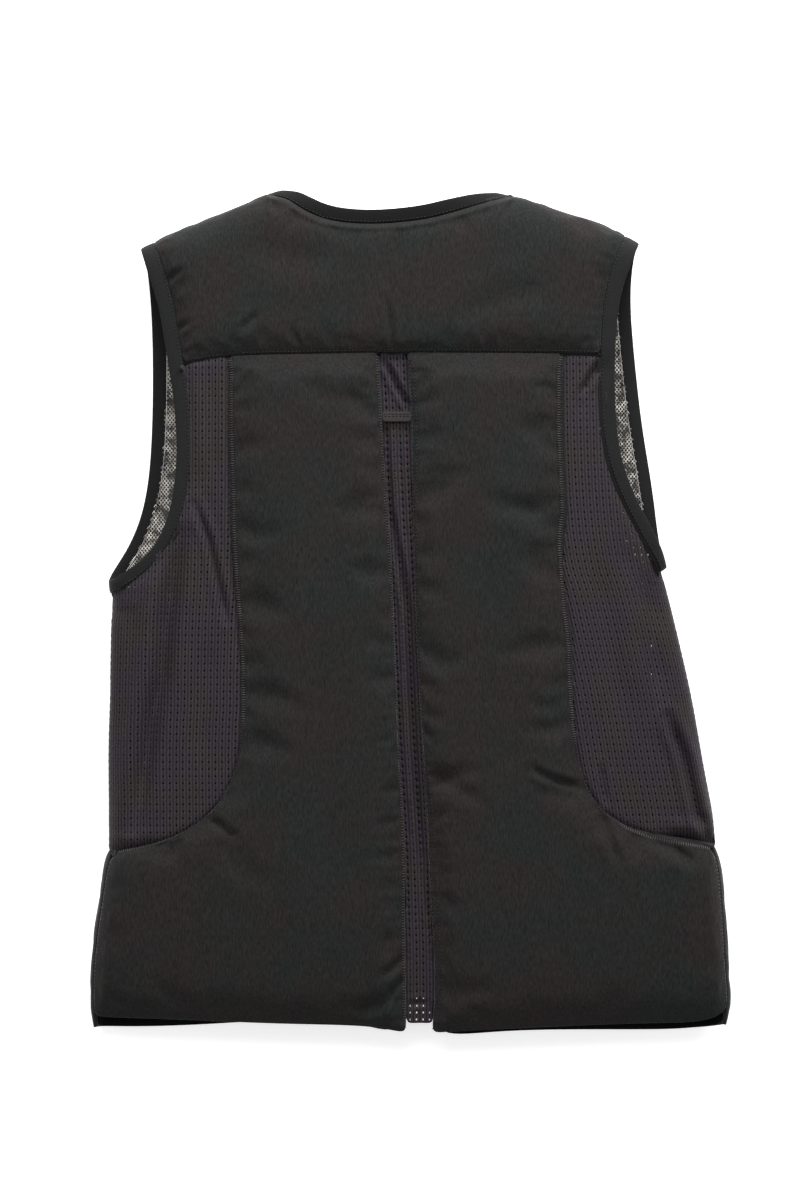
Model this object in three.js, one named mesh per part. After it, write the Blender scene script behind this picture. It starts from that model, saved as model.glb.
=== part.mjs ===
// Airbag riding vest, lying face down on a table with its back up. Millimetres, +Z up.
// +X runs across the back, +Y from the hem to the neck.
// The garment is a flattened tube: a back layer and a front layer that meet in a round fold down
// each side and along each shoulder, with a hollow between them that is open at the hem, the neck
// and both armholes. Each piece is a patch of that tube with the thickness of its own cloth or pad.
import * as THREE from "three";

// Overall sizes.
const LENGTH = 672; // hem to the neck end of the shoulder
const WIDTH = 520; // across the hem
const CAVITY = 20; // clear height between the front lining and the back pads
const FOLD = 18; // how far in from its edge a side or shoulder fold reaches

// Thicknesses.
const BACK_PAD = 14; // back panel with the folded air bag in it
const FRONT_PAD = 10; // front panel
const SHOULDER_PAD = 7; // the yoke where it turns over the shoulder
const SEAM_EDGE = 3; // a panel where it is sewn down
const SWELL = 24; // distance from a seam over which a pad reaches its full thickness
const SHOULDER_TAPER = 45; // distance from the shoulder's ridge over which the yoke thickens
const KNIT = 1.6; // perforated knit of the sides and the centre strip
const LINING = 1.2; // open mesh inside the front
const BINDING = 3; // folded elastic binding

// Widths of the trims and the places of the hidden seams.
const BIND_WIDTH = 11;
const HEM_WIDTH = 10;
const SEAM_GAP = 0.6; // clearance between two sewn pieces
const SHOULDER_WRAP = 17; // how far the yoke runs over the shoulder onto the front
const LOWER_SEAM = 11; // how far the front runs round the side onto the back, below the knit
const FRONT_KNIT = 40; // how far the side knit runs round onto the front
const UNDER_SEAM = 14; // the same at the armhole
const ZIP_HALF = 7;
const ZIP_TEETH = 4.2; // thickness at the teeth
const ZIP_TEETH_HALF = 2.5;
const ZIP_TAPE = 1.6;
const NOTCH_HALF = 11; // half the opening below the zip, at the hem
const CORNER_ROUND = 12; // radius of the front's two corners beside that opening
const TAB_HEIGHT = 8;
const TAB_THICK = 1.5;
const TAB_BOW = 1.5; // how far the hang tab bows up off the strip
const HEM_SAG = 5; // how much lower the back layer lies at the hem
const HEM_SAG_REACH = 110;
const STRIP_SAG = 3; // how much the centre strip sinks between the pads

const HALF = WIDTH / 2;
const HALF_GAP = SEAM_GAP / 2;
const QUARTER = (FOLD * Math.PI) / 2; // length of cloth in a quarter turn of a fold
const FRONT_Z = FRONT_PAD / 2;
const BACK_Z = FRONT_PAD + SEAM_GAP + LINING + CAVITY + BACK_PAD / 2;
const MIDDLE_Z = (BACK_Z + FRONT_Z) / 2;
const BACK = 1;
const FRONT = -1;
const LEFT = -1;
const RIGHT = 1;

// Outlines. "up" is a share of LENGTH above the hem and "across" a share of HALF from the middle.
const SIDE_FOLD = [
  { up: -0.02, left: 0.985, right: 0.97 },
  { up: 0.024, left: 0.997, right: 1.0 },
  { up: 0.083, left: 0.996, right: 0.991 },
  { up: 0.131, left: 0.978, right: 0.985 },
  { up: 0.179, left: 0.96, right: 0.975 },
  { up: 0.204, left: 0.953, right: 0.969 },
  { up: 0.224, left: 0.936, right: 0.955 },
  { up: 0.26, left: 0.931, right: 0.938 },
  { up: 0.321, left: 0.936, right: 0.911 },
  { up: 0.393, left: 0.935, right: 0.88 },
  { up: 0.464, left: 0.929, right: 0.837 },
  { up: 0.512, left: 0.932, right: 0.806 },
  { up: 0.54, left: 0.934, right: 0.794 },
  { up: 0.571, left: 0.936, right: 0.794 },
  { up: 0.631, left: 0.932, right: 0.812 },
  { up: 0.75, left: 0.922, right: 0.812 },
  { up: 0.94, left: 0.905, right: 0.79 },
  { up: 1.1, left: 0.9, right: 0.785 },
];

const SHOULDER_RIDGE = [
  { across: -1.02, up: 0.9 },
  { across: -0.83, up: 0.935 },
  { across: -0.692, up: 0.957 },
  { across: -0.523, up: 0.984 },
  { across: -0.397, up: 1.004 },
  { across: -0.062, up: 1.012 },
  { across: 0.268, up: 1.001 },
  { across: 0.468, up: 0.977 },
  { across: 0.618, up: 0.957 },
  { across: 0.706, up: 0.941 },
  { across: 1.02, up: 0.88 },
];

// Edge of each armhole: down the back from the shoulder, round under the arm, up the front.
const ARMHOLE = {
  [LEFT]: {
    tip: 0.829,
    under: 0.5335,
    back: [
      { across: 0.809, up: 0.906 },
      { across: 0.772, up: 0.864 },
      { across: 0.744, up: 0.8 },
      { across: 0.72, up: 0.735 },
      { across: 0.716, up: 0.67 },
      { across: 0.742, up: 0.608 },
      { across: 0.796, up: 0.569 },
      { across: 0.87, up: 0.546 },
    ],
    front: [
      { across: 0.905, up: 0.555 },
      { across: 0.862, up: 0.583 },
      { across: 0.824, up: 0.622 },
      { across: 0.804, up: 0.68 },
      { across: 0.797, up: 0.775 },
      { across: 0.802, up: 0.857 },
      { across: 0.814, up: 0.905 },
    ],
  },
  [RIGHT]: {
    tip: 0.705,
    under: 0.5455,
    back: [
      { across: 0.677, up: 0.91 },
      { across: 0.645, up: 0.876 },
      { across: 0.63, up: 0.824 },
      { across: 0.627, up: 0.755 },
      { across: 0.641, up: 0.69 },
      { across: 0.681, up: 0.641 },
      { across: 0.733, up: 0.602 },
      { across: 0.777, up: 0.567 },
    ],
    front: [
      { across: 0.774, up: 0.574 },
      { across: 0.762, up: 0.612 },
      { across: 0.746, up: 0.66 },
      { across: 0.717, up: 0.726 },
      { across: 0.694, up: 0.81 },
      { across: 0.683, up: 0.869 },
      { across: 0.69, up: 0.912 },
    ],
  },
};

// Edge of the neck: up the front from the zip, over the shoulder, along the back and down again.
const NECK = {
  frontLeft: [
    { across: -0.2, up: 0.839 },
    { across: -0.323, up: 0.899 },
    { across: -0.385, up: 0.958 },
  ],
  crestLeft: -0.397,
  back: [
    { across: -0.351, up: 0.9976 },
    { across: -0.283, up: 0.9845 },
    { across: -0.22, up: 0.9765 },
    { across: -0.11, up: 0.974 },
    { across: 0.031, up: 0.979 },
    { across: 0.123, up: 0.988 },
    { across: 0.216, up: 0.995 },
  ],
  crestRight: 0.268,
  frontRight: [
    { across: 0.258, up: 0.958 },
    { across: 0.206, up: 0.899 },
    { across: 0.083, up: 0.839 },
  ],
};

const YOKE_SEAM = [
  { across: -0.8, up: 0.787 },
  { across: -0.69, up: 0.793 },
  { across: -0.56, up: 0.801 },
  { across: -0.3, up: 0.804 },
  { across: -0.055, up: 0.8055 },
  { across: 0.35, up: 0.805 },
  { across: 0.6, up: 0.8035 },
  { across: 0.8, up: 0.801 },
];

const CENTRE_STRIP = [
  { up: -0.02, left: -0.009, right: 0.062 },
  { up: 0.0, left: -0.01, right: 0.065 },
  { up: 0.06, left: -0.014, right: 0.077 },
  { up: 0.131, left: -0.0154, right: 0.066 },
  { up: 0.202, left: -0.014, right: 0.057 },
  { up: 0.274, left: -0.023, right: 0.049 },
  { up: 0.333, left: -0.034, right: 0.0385 },
  { up: 0.464, left: -0.046, right: 0.0185 },
  { up: 0.56, left: -0.057, right: 0.012 },
  { up: 0.655, left: -0.075, right: 0.005 },
  { up: 0.726, left: -0.086, right: 0.0046 },
  { up: 0.82, left: -0.1, right: -0.014 },
];

// Seam between each back pad and the side knit, from the yoke down and out to the side.
const KNIT_SEAM = {
  [LEFT]: [
    { across: 0.557, up: 0.8 },
    { across: 0.558, up: 0.726 },
    { across: 0.551, up: 0.631 },
    { across: 0.535, up: 0.524 },
    { across: 0.518, up: 0.434 },
    { across: 0.514, up: 0.354 },
    { across: 0.537, up: 0.305 },
    { across: 0.594, up: 0.265 },
    { across: 0.692, up: 0.237 },
    { across: 0.8, up: 0.2215 },
    { across: 0.88, up: 0.216 },
  ],
  [RIGHT]: [
    { across: 0.467, up: 0.8 },
    { across: 0.466, up: 0.702 },
    { across: 0.471, up: 0.595 },
    { across: 0.485, up: 0.488 },
    { across: 0.496, up: 0.393 },
    { across: 0.511, up: 0.333 },
    { across: 0.533, up: 0.294 },
    { across: 0.578, up: 0.264 },
    { across: 0.662, up: 0.244 },
    { across: 0.769, up: 0.232 },
    { across: 0.88, up: 0.225 },
  ],
};
const KNIT_END = { [LEFT]: 0.214, [RIGHT]: 0.22 };

// The same seam on the front. "out" is a share of FRONT_KNIT from the side fold.
const FRONT_KNIT_SEAM = [
  { out: 1.0, up: 0.42 },
  { out: 0.98, up: 0.33 },
  { out: 0.86, up: 0.28 },
  { out: 0.55, up: 0.24 },
  { out: 0.15, up: 0.222 },
];

const BACK_HEM = [
  { across: -1.02, up: 0.02 },
  { across: -0.975, up: 0.018 },
  { across: -0.77, up: 0.0155 },
  { across: -0.618, up: 0.013 },
  { across: -0.311, up: 0.0083 },
  { across: -0.154, up: 0.0083 },
  { across: -0.074, up: 0.0036 },
  { across: -0.015, up: -0.0012 },
  { across: 0.065, up: -0.0012 },
  { across: 0.228, up: 0.0024 },
  { across: 0.4, up: 0.0054 },
  { across: 0.717, up: 0.0107 },
  { across: 0.87, up: 0.011 },
  { across: 0.945, up: 0.018 },
  { across: 1.02, up: 0.05 },
];

const FRONT_HEM = [
  { across: -1.02, up: 0.014 },
  { across: -0.985, up: 0.0055 },
  { across: -0.94, up: 0.0015 },
  { across: -0.75, up: 0.0012 },
  { across: -0.526, up: 0.006 },
  { across: -0.338, up: 0.0107 },
  { across: -0.185, up: 0.0083 },
  { across: -0.083, up: -0.0048 },
  { across: -0.018, up: -0.0083 },
  { across: 0.074, up: -0.007 },
  { across: 0.154, up: -0.009 },
  { across: 0.258, up: -0.0048 },
  { across: 0.46, up: -0.0024 },
  { across: 0.87, up: -0.0024 },
  { across: 0.945, up: 0.001 },
  { across: 0.985, up: 0.013 },
  { across: 1.02, up: 0.028 },
];

const ZIP_LINE = [
  { up: -0.02, across: 0.029 },
  { up: 0.4, across: -0.005 },
  { up: 0.813, across: -0.055 },
  { up: 0.9, across: -0.06 },
];
const ZIP_TOP = 0.813;
const ZIP_FOOT = 0.034;
const TAB_TOP = 0.735;

// Soft folds in the back layer, each a groove between two places. Negative depths stand up.
const CREASES = [
  { at: "left knit", across: -0.71, up: 0.575, toAcross: -0.79, toUp: 0.31, depth: 4.5, width: 9 },
  { at: "left knit", across: -0.77, up: 0.52, toAcross: -0.85, toUp: 0.36, depth: -2.5, width: 11 },
  { at: "left knit", across: -0.64, up: 0.66, toAcross: -0.56, toUp: 0.5, depth: 2.5, width: 8 },
  { at: "right knit", across: 0.67, up: 0.56, toAcross: 0.77, toUp: 0.3, depth: 3, width: 9 },
  { at: "right knit", across: 0.6, up: 0.79, toAcross: 0.53, toUp: 0.75, depth: 2, width: 6 },
  { at: "yoke", across: -0.065, up: 0.965, toAcross: -0.062, toUp: 0.81, depth: 2.2, width: 8 },
];

// How many facets each stretch of a seam is cut into. Pieces that share a seam share these.
const YOKE_ROWS = 9;
const WRAP_ROWS = 3;
const SHOULDER_COLUMNS = 7;
const NECK_COLUMNS = 15;
const ARM_KNIT_ROWS = 13;
const FRONT_KNIT_ROWS = 9;
const LOWER_ROWS = 6;
const FRONT_ARM_ROWS = 11;
const PAD_COLUMNS = 9;
const FRONT_COLUMNS = 9;
const STRIP_COLUMNS = 4;
const TAB_COLUMNS = 6;
const FACING_ROWS = 2;
const ZIP_ROWS = 12;
const KNIT_COLUMNS = 9;
const FRONT_NECK_ROWS = 5;
const CURVE_STEPS = 240;
const PROBE = 0.4; // step for the slope of the cloth

// Interpolates a table smoothly: rows are sorted by the "from" column.
function table(rows, from, to) {
  const slope = (i) => {
    const a = rows[Math.max(i - 1, 0)];
    const b = rows[Math.min(i + 1, rows.length - 1)];
    return (b[to] - a[to]) / (b[from] - a[from]);
  };
  return (value) => {
    let i = rows.findIndex((row) => row[from] >= value);
    if (i < 1) i = i === 0 ? 1 : rows.length - 1;
    const a = rows[i - 1];
    const b = rows[i];
    const span = b[from] - a[from];
    const t = THREE.MathUtils.clamp((value - a[from]) / span, 0, 1);
    const t2 = t * t;
    const t3 = t2 * t;
    const near = (2 * t3 - 3 * t2 + 1) * a[to] + (t3 - 2 * t2 + t) * span * slope(i - 1);
    const far = (3 * t2 - 2 * t3) * b[to] + (t3 - t2) * span * slope(i);
    return near + far;
  };
}

const foldLeft = table(SIDE_FOLD, "up", "left");
const foldRight = table(SIDE_FOLD, "up", "right");
const ridgeUp = table(SHOULDER_RIDGE, "across", "up");
const yokeUp = table(YOKE_SEAM, "across", "up");
const stripLeft = table(CENTRE_STRIP, "up", "left");
const stripRight = table(CENTRE_STRIP, "up", "right");
const backHemUp = table(BACK_HEM, "across", "up");
const frontHemUp = table(FRONT_HEM, "across", "up");
const zipAcross = table(ZIP_LINE, "up", "across");

// A pad's share of its full swelling at a distance from its seam.
const swollen = (distance) => {
  const t = 1 - THREE.MathUtils.clamp(distance / SWELL, 0, 1);
  return Math.sqrt(1 - t * t);
};

// The outlines are the cloth's outer face, so its middle lies half a thickness inside them.
const LOWER_WALL = SEAM_EDGE + (FRONT_PAD - SEAM_EDGE) * swollen(LOWER_SEAM);
const sideWall = (side, y) => {
  const above = y - (KNIT_END[side] * LENGTH - HALF_GAP);
  return THREE.MathUtils.lerp(LOWER_WALL, KNIT, THREE.MathUtils.smoothstep(above, 0, SWELL));
};
const foldX = (side, y) => {
  const outline = HALF * (side === LEFT ? foldLeft : foldRight)(y / LENGTH);
  return outline - sideWall(side, y) / 2;
};
const ridgeY = (x) => LENGTH * ridgeUp(x / HALF) - SHOULDER_PAD / 2;
const yokeY = (x) => LENGTH * yokeUp(x / HALF);
const stripX = (side, y) => HALF * (side === LEFT ? stripLeft : stripRight)(y / LENGTH);
const hemY = (layer, x) => LENGTH * (layer === BACK ? backHemUp : frontHemUp)(x / HALF);
const zipX = (y) => HALF * zipAcross(y / LENGTH);

// Cloth length from a fold's edge, and the distance in plan that it covers.
const unroll = (d) =>
  d < FOLD ? FOLD * Math.acos(1 - Math.max(d, 0) / FOLD) : d - FOLD + QUARTER;
const roll = (length) =>
  length < QUARTER ? FOLD * (1 - Math.cos(length / FOLD)) : length - QUARTER + FOLD;
const rise = (d) => {
  const t = 1 - THREE.MathUtils.clamp(d / FOLD, 0, 1);
  return Math.sqrt(1 - t * t);
};

// How far the creases lower a place on the back layer.
function creased(x, y) {
  const here = new THREE.Vector3(x, y, 0);
  const near = new THREE.Vector3();
  let drop = 0;
  for (const c of CREASES) {
    const line = new THREE.Line3(
      new THREE.Vector3(c.across * HALF, c.up * LENGTH, 0),
      new THREE.Vector3(c.toAcross * HALF, c.toUp * LENGTH, 0),
    );
    const away = line.closestPointToPoint(here, true, near).distanceTo(here) / c.width;
    drop += c.depth * Math.exp(-away * away);
  }
  return drop;
}

// The garment's middle surface at a place in plan, on one layer.
function surface(layer, x, y) {
  const side = x < 0 ? LEFT : RIGHT;
  const bulge = rise(foldX(side, y) - Math.abs(x)) * rise(ridgeY(x) - y);
  if (layer === FRONT) return new THREE.Vector3(x, y, MIDDLE_Z - (MIDDLE_Z - FRONT_Z) * bulge);
  const hem = THREE.MathUtils.clamp(1 - (y - hemY(BACK, x)) / HEM_SAG_REACH, 0, 1);
  const height = BACK_Z - MIDDLE_Z - HEM_SAG * hem * hem - creased(x, y);
  return new THREE.Vector3(x, y, MIDDLE_Z + height * bulge);
}

// Two charts of the cloth. Beside a side fold: s runs out of the back (negative) round to the
// front (positive) and w down from the shoulder ridge. Over the ridge: x, and w that is
// negative on the back and positive on the front.
function planOf(side, s, w) {
  let x = (side * HALF) / 2;
  let y = 0;
  for (let turn = 0; turn < 8; turn++) {
    y = ridgeY(x) - roll(w);
    x = side * (foldX(side, y) - roll(Math.abs(s)));
  }
  return { x, y };
}
const besideFold = (side) => {
  const lay = (p) => {
    const { x, y } = planOf(side, p.x, p.y);
    return surface(p.x < 0 ? BACK : FRONT, x, y);
  };
  return Object.assign(lay, { hand: side, floor: (w) => Math.max(w, 0) });
};
const overRidge = Object.assign(
  (p) => surface(p.y <= 0 ? BACK : FRONT, p.x, ridgeY(p.x) - roll(Math.abs(p.y))),
  { hand: -1, floor: (w) => w },
);
const foldChart = (side, layer, x, y) =>
  new THREE.Vector2(-layer * unroll(foldX(side, y) - side * x), unroll(ridgeY(x) - y));
const ridgeChart = (layer, x, y) => new THREE.Vector2(x, -layer * unroll(ridgeY(x) - y));

// A smooth edge in a chart, with a way to step into the cloth beside it.
function edge(points, into, ends) {
  const curve = new THREE.SplineCurve(points);
  curve.arcLengthDivisions = CURVE_STEPS;
  return (t, inset = 0) => {
    const p = curve.getPointAt(t);
    const along = curve.getTangentAt(t);
    let normal = new THREE.Vector2(-along.y, along.x).multiplyScalar(into);
    if (ends && t === 0) normal = ends[0].clone();
    if (ends && t === 1) normal = ends[1].clone();
    return p.addScaledVector(normal, inset);
  };
}

// The place along an edge where a measure of it passes zero, found by halving.
function crossing(measure, low, high) {
  const sign = Math.sign(measure(low));
  for (let step = 0; step < 40; step++) {
    const middle = (low + high) / 2;
    if (Math.sign(measure(middle)) === sign) low = middle;
    else high = middle;
  }
  return (low + high) / 2;
}

const even = (count, from = 0, to = 1) =>
  Array.from({ length: count + 1 }, (_, i) => from + ((to - from) * i) / count);
// Places that crowd towards the ends, where a pad curves down to its seam.
const crowded = (count, from = 0, to = 1, startPull = 0.72, endPull = 0.72) =>
  even(count).map((t) => {
    const pull = startPull * (1 - t) + endPull * t;
    return from + (to - from) * (t - (pull * Math.sin(2 * Math.PI * t)) / (2 * Math.PI));
  });

// Fills a four-sided outline in a chart. Each side is a list of places; opposite sides match.
function coons(bottom, top, left, right) {
  const columns = bottom.length - 1;
  const rows = left.length - 1;
  return left.map((_, j) => {
    const v = j / rows;
    return bottom.map((__, i) => {
      const u = i / columns;
      const mix = (key) =>
        (1 - v) * bottom[i][key] +
        v * top[i][key] +
        (1 - u) * left[j][key] +
        u * right[j][key] -
        (1 - v) * ((1 - u) * bottom[0][key] + u * bottom[columns][key]) -
        v * ((1 - u) * top[0][key] + u * top[columns][key]);
      return new THREE.Vector2(mix("x"), mix("y"));
    });
  });
}

// Closes a grid of places in a chart into a solid wall. "lay" takes a place to space, "thick" and
// "lift" follow the place in the grid, lift being towards the hollow; cells that "keep" refuses
// are left out, and a ring joins its last row to its first.
function wall(flat, lay, { thick, lift = () => 0, keep = () => true, ring = false }) {
  const rows = flat.length;
  const columns = flat[0].length;
  const row = (j) => (ring ? (j + rows) % rows : j);
  const used = (j, i) =>
    i >= 0 && i < columns - 1 && (ring || (j >= 0 && j < rows - 1)) && keep(row(j), i);
  const inwards = (p) => {
    const step = (dx, dy) => lay(new THREE.Vector2(p.x + dx, lay.floor(p.y + dy)));
    const across = step(PROBE, 0).sub(step(-PROBE, 0));
    const along = step(0, PROBE).sub(step(0, -PROBE));
    return across.cross(along).normalize().multiplyScalar(lay.hand);
  };
  const positions = [];
  for (let j = 0; j < rows; j++) {
    for (let i = 0; i < columns; i++) {
      const normal = inwards(flat[j][i]);
      const place = lay(flat[j][i]);
      for (const face of [-0.5, 0.5]) {
        const off = lift(j, i) + face * thick(j, i);
        positions.push(...place.clone().addScaledVector(normal, off).toArray());
      }
    }
  }
  const cross = (a, b, c) => b.clone().sub(a).cross(c.clone().sub(a));
  const flip = cross(flat[0][0], flat[0][1], flat[1][0]) * lay.hand > 0;
  const outer = (j, i) => 2 * (row(j) * columns + i);
  const faces = [];
  const quad = (...k) => {
    if (flip) k.reverse();
    faces.push(k[0], k[1], k[2], k[0], k[2], k[3]);
  };
  for (let j = 0; j < (ring ? rows : rows - 1); j++) {
    for (let i = 0; i < columns - 1; i++) {
      if (!used(j, i)) continue;
      const [a, b, c, d] = [outer(j, i), outer(j, i + 1), outer(j + 1, i + 1), outer(j + 1, i)];
      quad(a, b, c, d);
      quad(a + 1, d + 1, c + 1, b + 1);
      if (!used(j, i - 1)) quad(d, d + 1, a + 1, a);
      if (!used(j, i + 1)) quad(b, b + 1, c + 1, c);
      if (!used(j - 1, i)) quad(a, a + 1, b + 1, b);
      if (!used(j + 1, i)) quad(c, c + 1, d + 1, d);
    }
  }
  const geometry = new THREE.BufferGeometry();
  geometry.setAttribute("position", new THREE.Float32BufferAttribute(positions, 3));
  geometry.setIndex(faces);
  return geometry.toNonIndexed();
}

// Thickness of a pad: thin at its seams and full inside.
function padded(flat, lay, full) {
  const grid = flat.map((places) => places.map(lay));
  const rows = grid.length - 1;
  const columns = grid[0].length - 1;
  const run = (places) => {
    const sums = [0];
    for (let k = 1; k < places.length; k++) {
      sums.push(sums[k - 1] + places[k].distanceTo(places[k - 1]));
    }
    return sums;
  };
  const across = grid.map((places) => run(places));
  const along = grid[0].map((_, i) => run(grid.map((places) => places[i])));
  return (j, i) => {
    const edges = [
      across[j][i],
      across[j][columns] - across[j][i],
      along[i][j],
      along[i][rows] - along[i][j],
    ];
    return edges.reduce((size, d) => size * swollen(d), full - SEAM_EDGE) + SEAM_EDGE;
  };
}

// Cloths, with the colours of the photograph.
const cloth = (color, roughness) =>
  new THREE.MeshStandardMaterial({ color, roughness, metalness: 0 });
const PAD_CLOTH = cloth(0x303030, 0.82);
const KNIT_CLOTH = cloth(0x373338, 0.75);
const BINDING_CLOTH = cloth(0x232323, 0.85);
const MESH_CLOTH = cloth(0x8b8985, 0.6);
const ZIP_CLOTH = cloth(0x1c1c1c, 0.55);

const vest = new THREE.Group();
function add(name, geometry, material) {
  const mesh = new THREE.Mesh(geometry, material);
  mesh.name = name;
  vest.add(mesh);
}
const onSide = (name, side) => name + (side === LEFT ? "_left" : "_right");
const CLOTH_INSET = BIND_WIDTH + SEAM_GAP;

// Armhole edges, in the chart beside the side fold, from the shoulder down the back and up the
// front to the shoulder again.
function armholeEdge(side) {
  const shape = ARMHOLE[side];
  const tipX = side * shape.tip * HALF;
  const place = (layer) => (row) =>
    foldChart(side, layer, side * row.across * HALF, row.up * LENGTH);
  const crest = (layer, w) => {
    const y = ridgeY(tipX) - roll(w);
    return new THREE.Vector2(-layer * unroll(foldX(side, y) - side * tipX), w);
  };
  const underY = shape.under * LENGTH;
  const points = [
    crest(BACK, 0),
    crest(BACK, FOLD / 3),
    ...shape.back.map(place(BACK)),
    foldChart(side, BACK, side * foldX(side, underY), underY),
    ...shape.front.map(place(FRONT)),
    crest(FRONT, FOLD / 3),
    crest(FRONT, 0),
  ];
  const loop = edge(points, 1, [new THREE.Vector2(-1, 0), new THREE.Vector2(1, 0)]);
  return (t, inset) => {
    const p = loop(t, inset);
    return p.setY(Math.max(p.y, 0));
  };
}
const arm = { [LEFT]: armholeEdge(LEFT), [RIGHT]: armholeEdge(RIGHT) };
const UNDER_ARM = 0.5; // the share of an armhole's edge at which it passes under the arm, roughly

// Where the cloth around each armhole meets the yoke seam, the front knit seam and the wrap.
function armStations(side) {
  const cloth = (t) => arm[side](t, CLOTH_INSET);
  const overYoke = (t) => {
    const { x, y } = planOf(side, cloth(t).x, cloth(t).y);
    return y - yokeY(x);
  };
  const yoke = crossing(overYoke, 0, UNDER_ARM);
  const front = crossing((t) => cloth(t).x - UNDER_SEAM, UNDER_ARM - 0.1, UNDER_ARM + 0.2);
  const wrap = crossing((t) => cloth(t).y - SHOULDER_WRAP, UNDER_ARM + 0.2, 1);
  return {
    yoke: crowded(YOKE_ROWS, 0, yoke, 0.3, 0.5),
    knit: crowded(ARM_KNIT_ROWS, yoke, front, 0.5, 0),
    front: crowded(FRONT_ARM_ROWS, front, wrap, 0.6, 0.5),
    wrap: even(WRAP_ROWS, wrap, 1),
  };
}
const armRows = { [LEFT]: armStations(LEFT), [RIGHT]: armStations(RIGHT) };

// Neck edge, in the chart over the ridge, from the zip up the left front and round to the right.
const zipSideX = (side, y) => zipX(y) + side * (ZIP_HALF + SEAM_GAP);
function neckEdge() {
  const place = (layer) => (row) => ridgeChart(layer, row.across * HALF, row.up * LENGTH);
  const top = ZIP_TOP * LENGTH;
  const points = [
    ridgeChart(FRONT, zipSideX(LEFT, top), top),
    ...NECK.frontLeft.map(place(FRONT)),
    new THREE.Vector2(NECK.crestLeft * HALF, 0),
    ...NECK.back.map(place(BACK)),
    new THREE.Vector2(NECK.crestRight * HALF, 0),
    ...NECK.frontRight.map(place(FRONT)),
    ridgeChart(FRONT, zipSideX(RIGHT, top), top),
  ];
  const lean = zipX(top - BIND_WIDTH) - zipX(top);
  const down = new THREE.Vector2(lean / BIND_WIDTH, 1);
  return edge(points, -1, [down, down]);
}
const neck = neckEdge();

function neckStations() {
  const height = (t) => neck(t, CLOTH_INSET).y;
  const wrap = [
    crossing((t) => height(t) - SHOULDER_WRAP, 0, 0.5),
    crossing((t) => height(t) - SHOULDER_WRAP, 1, 0.5),
  ];
  const crest = [crossing(height, 0, 0.5), crossing(height, 1, 0.5)];
  return {
    [LEFT]: {
      front: crowded(FRONT_NECK_ROWS, 0, wrap[0], 0, 0),
      wrap: even(WRAP_ROWS, wrap[0], crest[0]),
    },
    [RIGHT]: {
      front: crowded(FRONT_NECK_ROWS, 1, wrap[1], 0, 0),
      wrap: even(WRAP_ROWS, wrap[1], crest[1]),
    },
    back: crowded(NECK_COLUMNS, crest[0], crest[1], 0.6, 0.6),
  };
}
const neckRows = neckStations();

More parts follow.
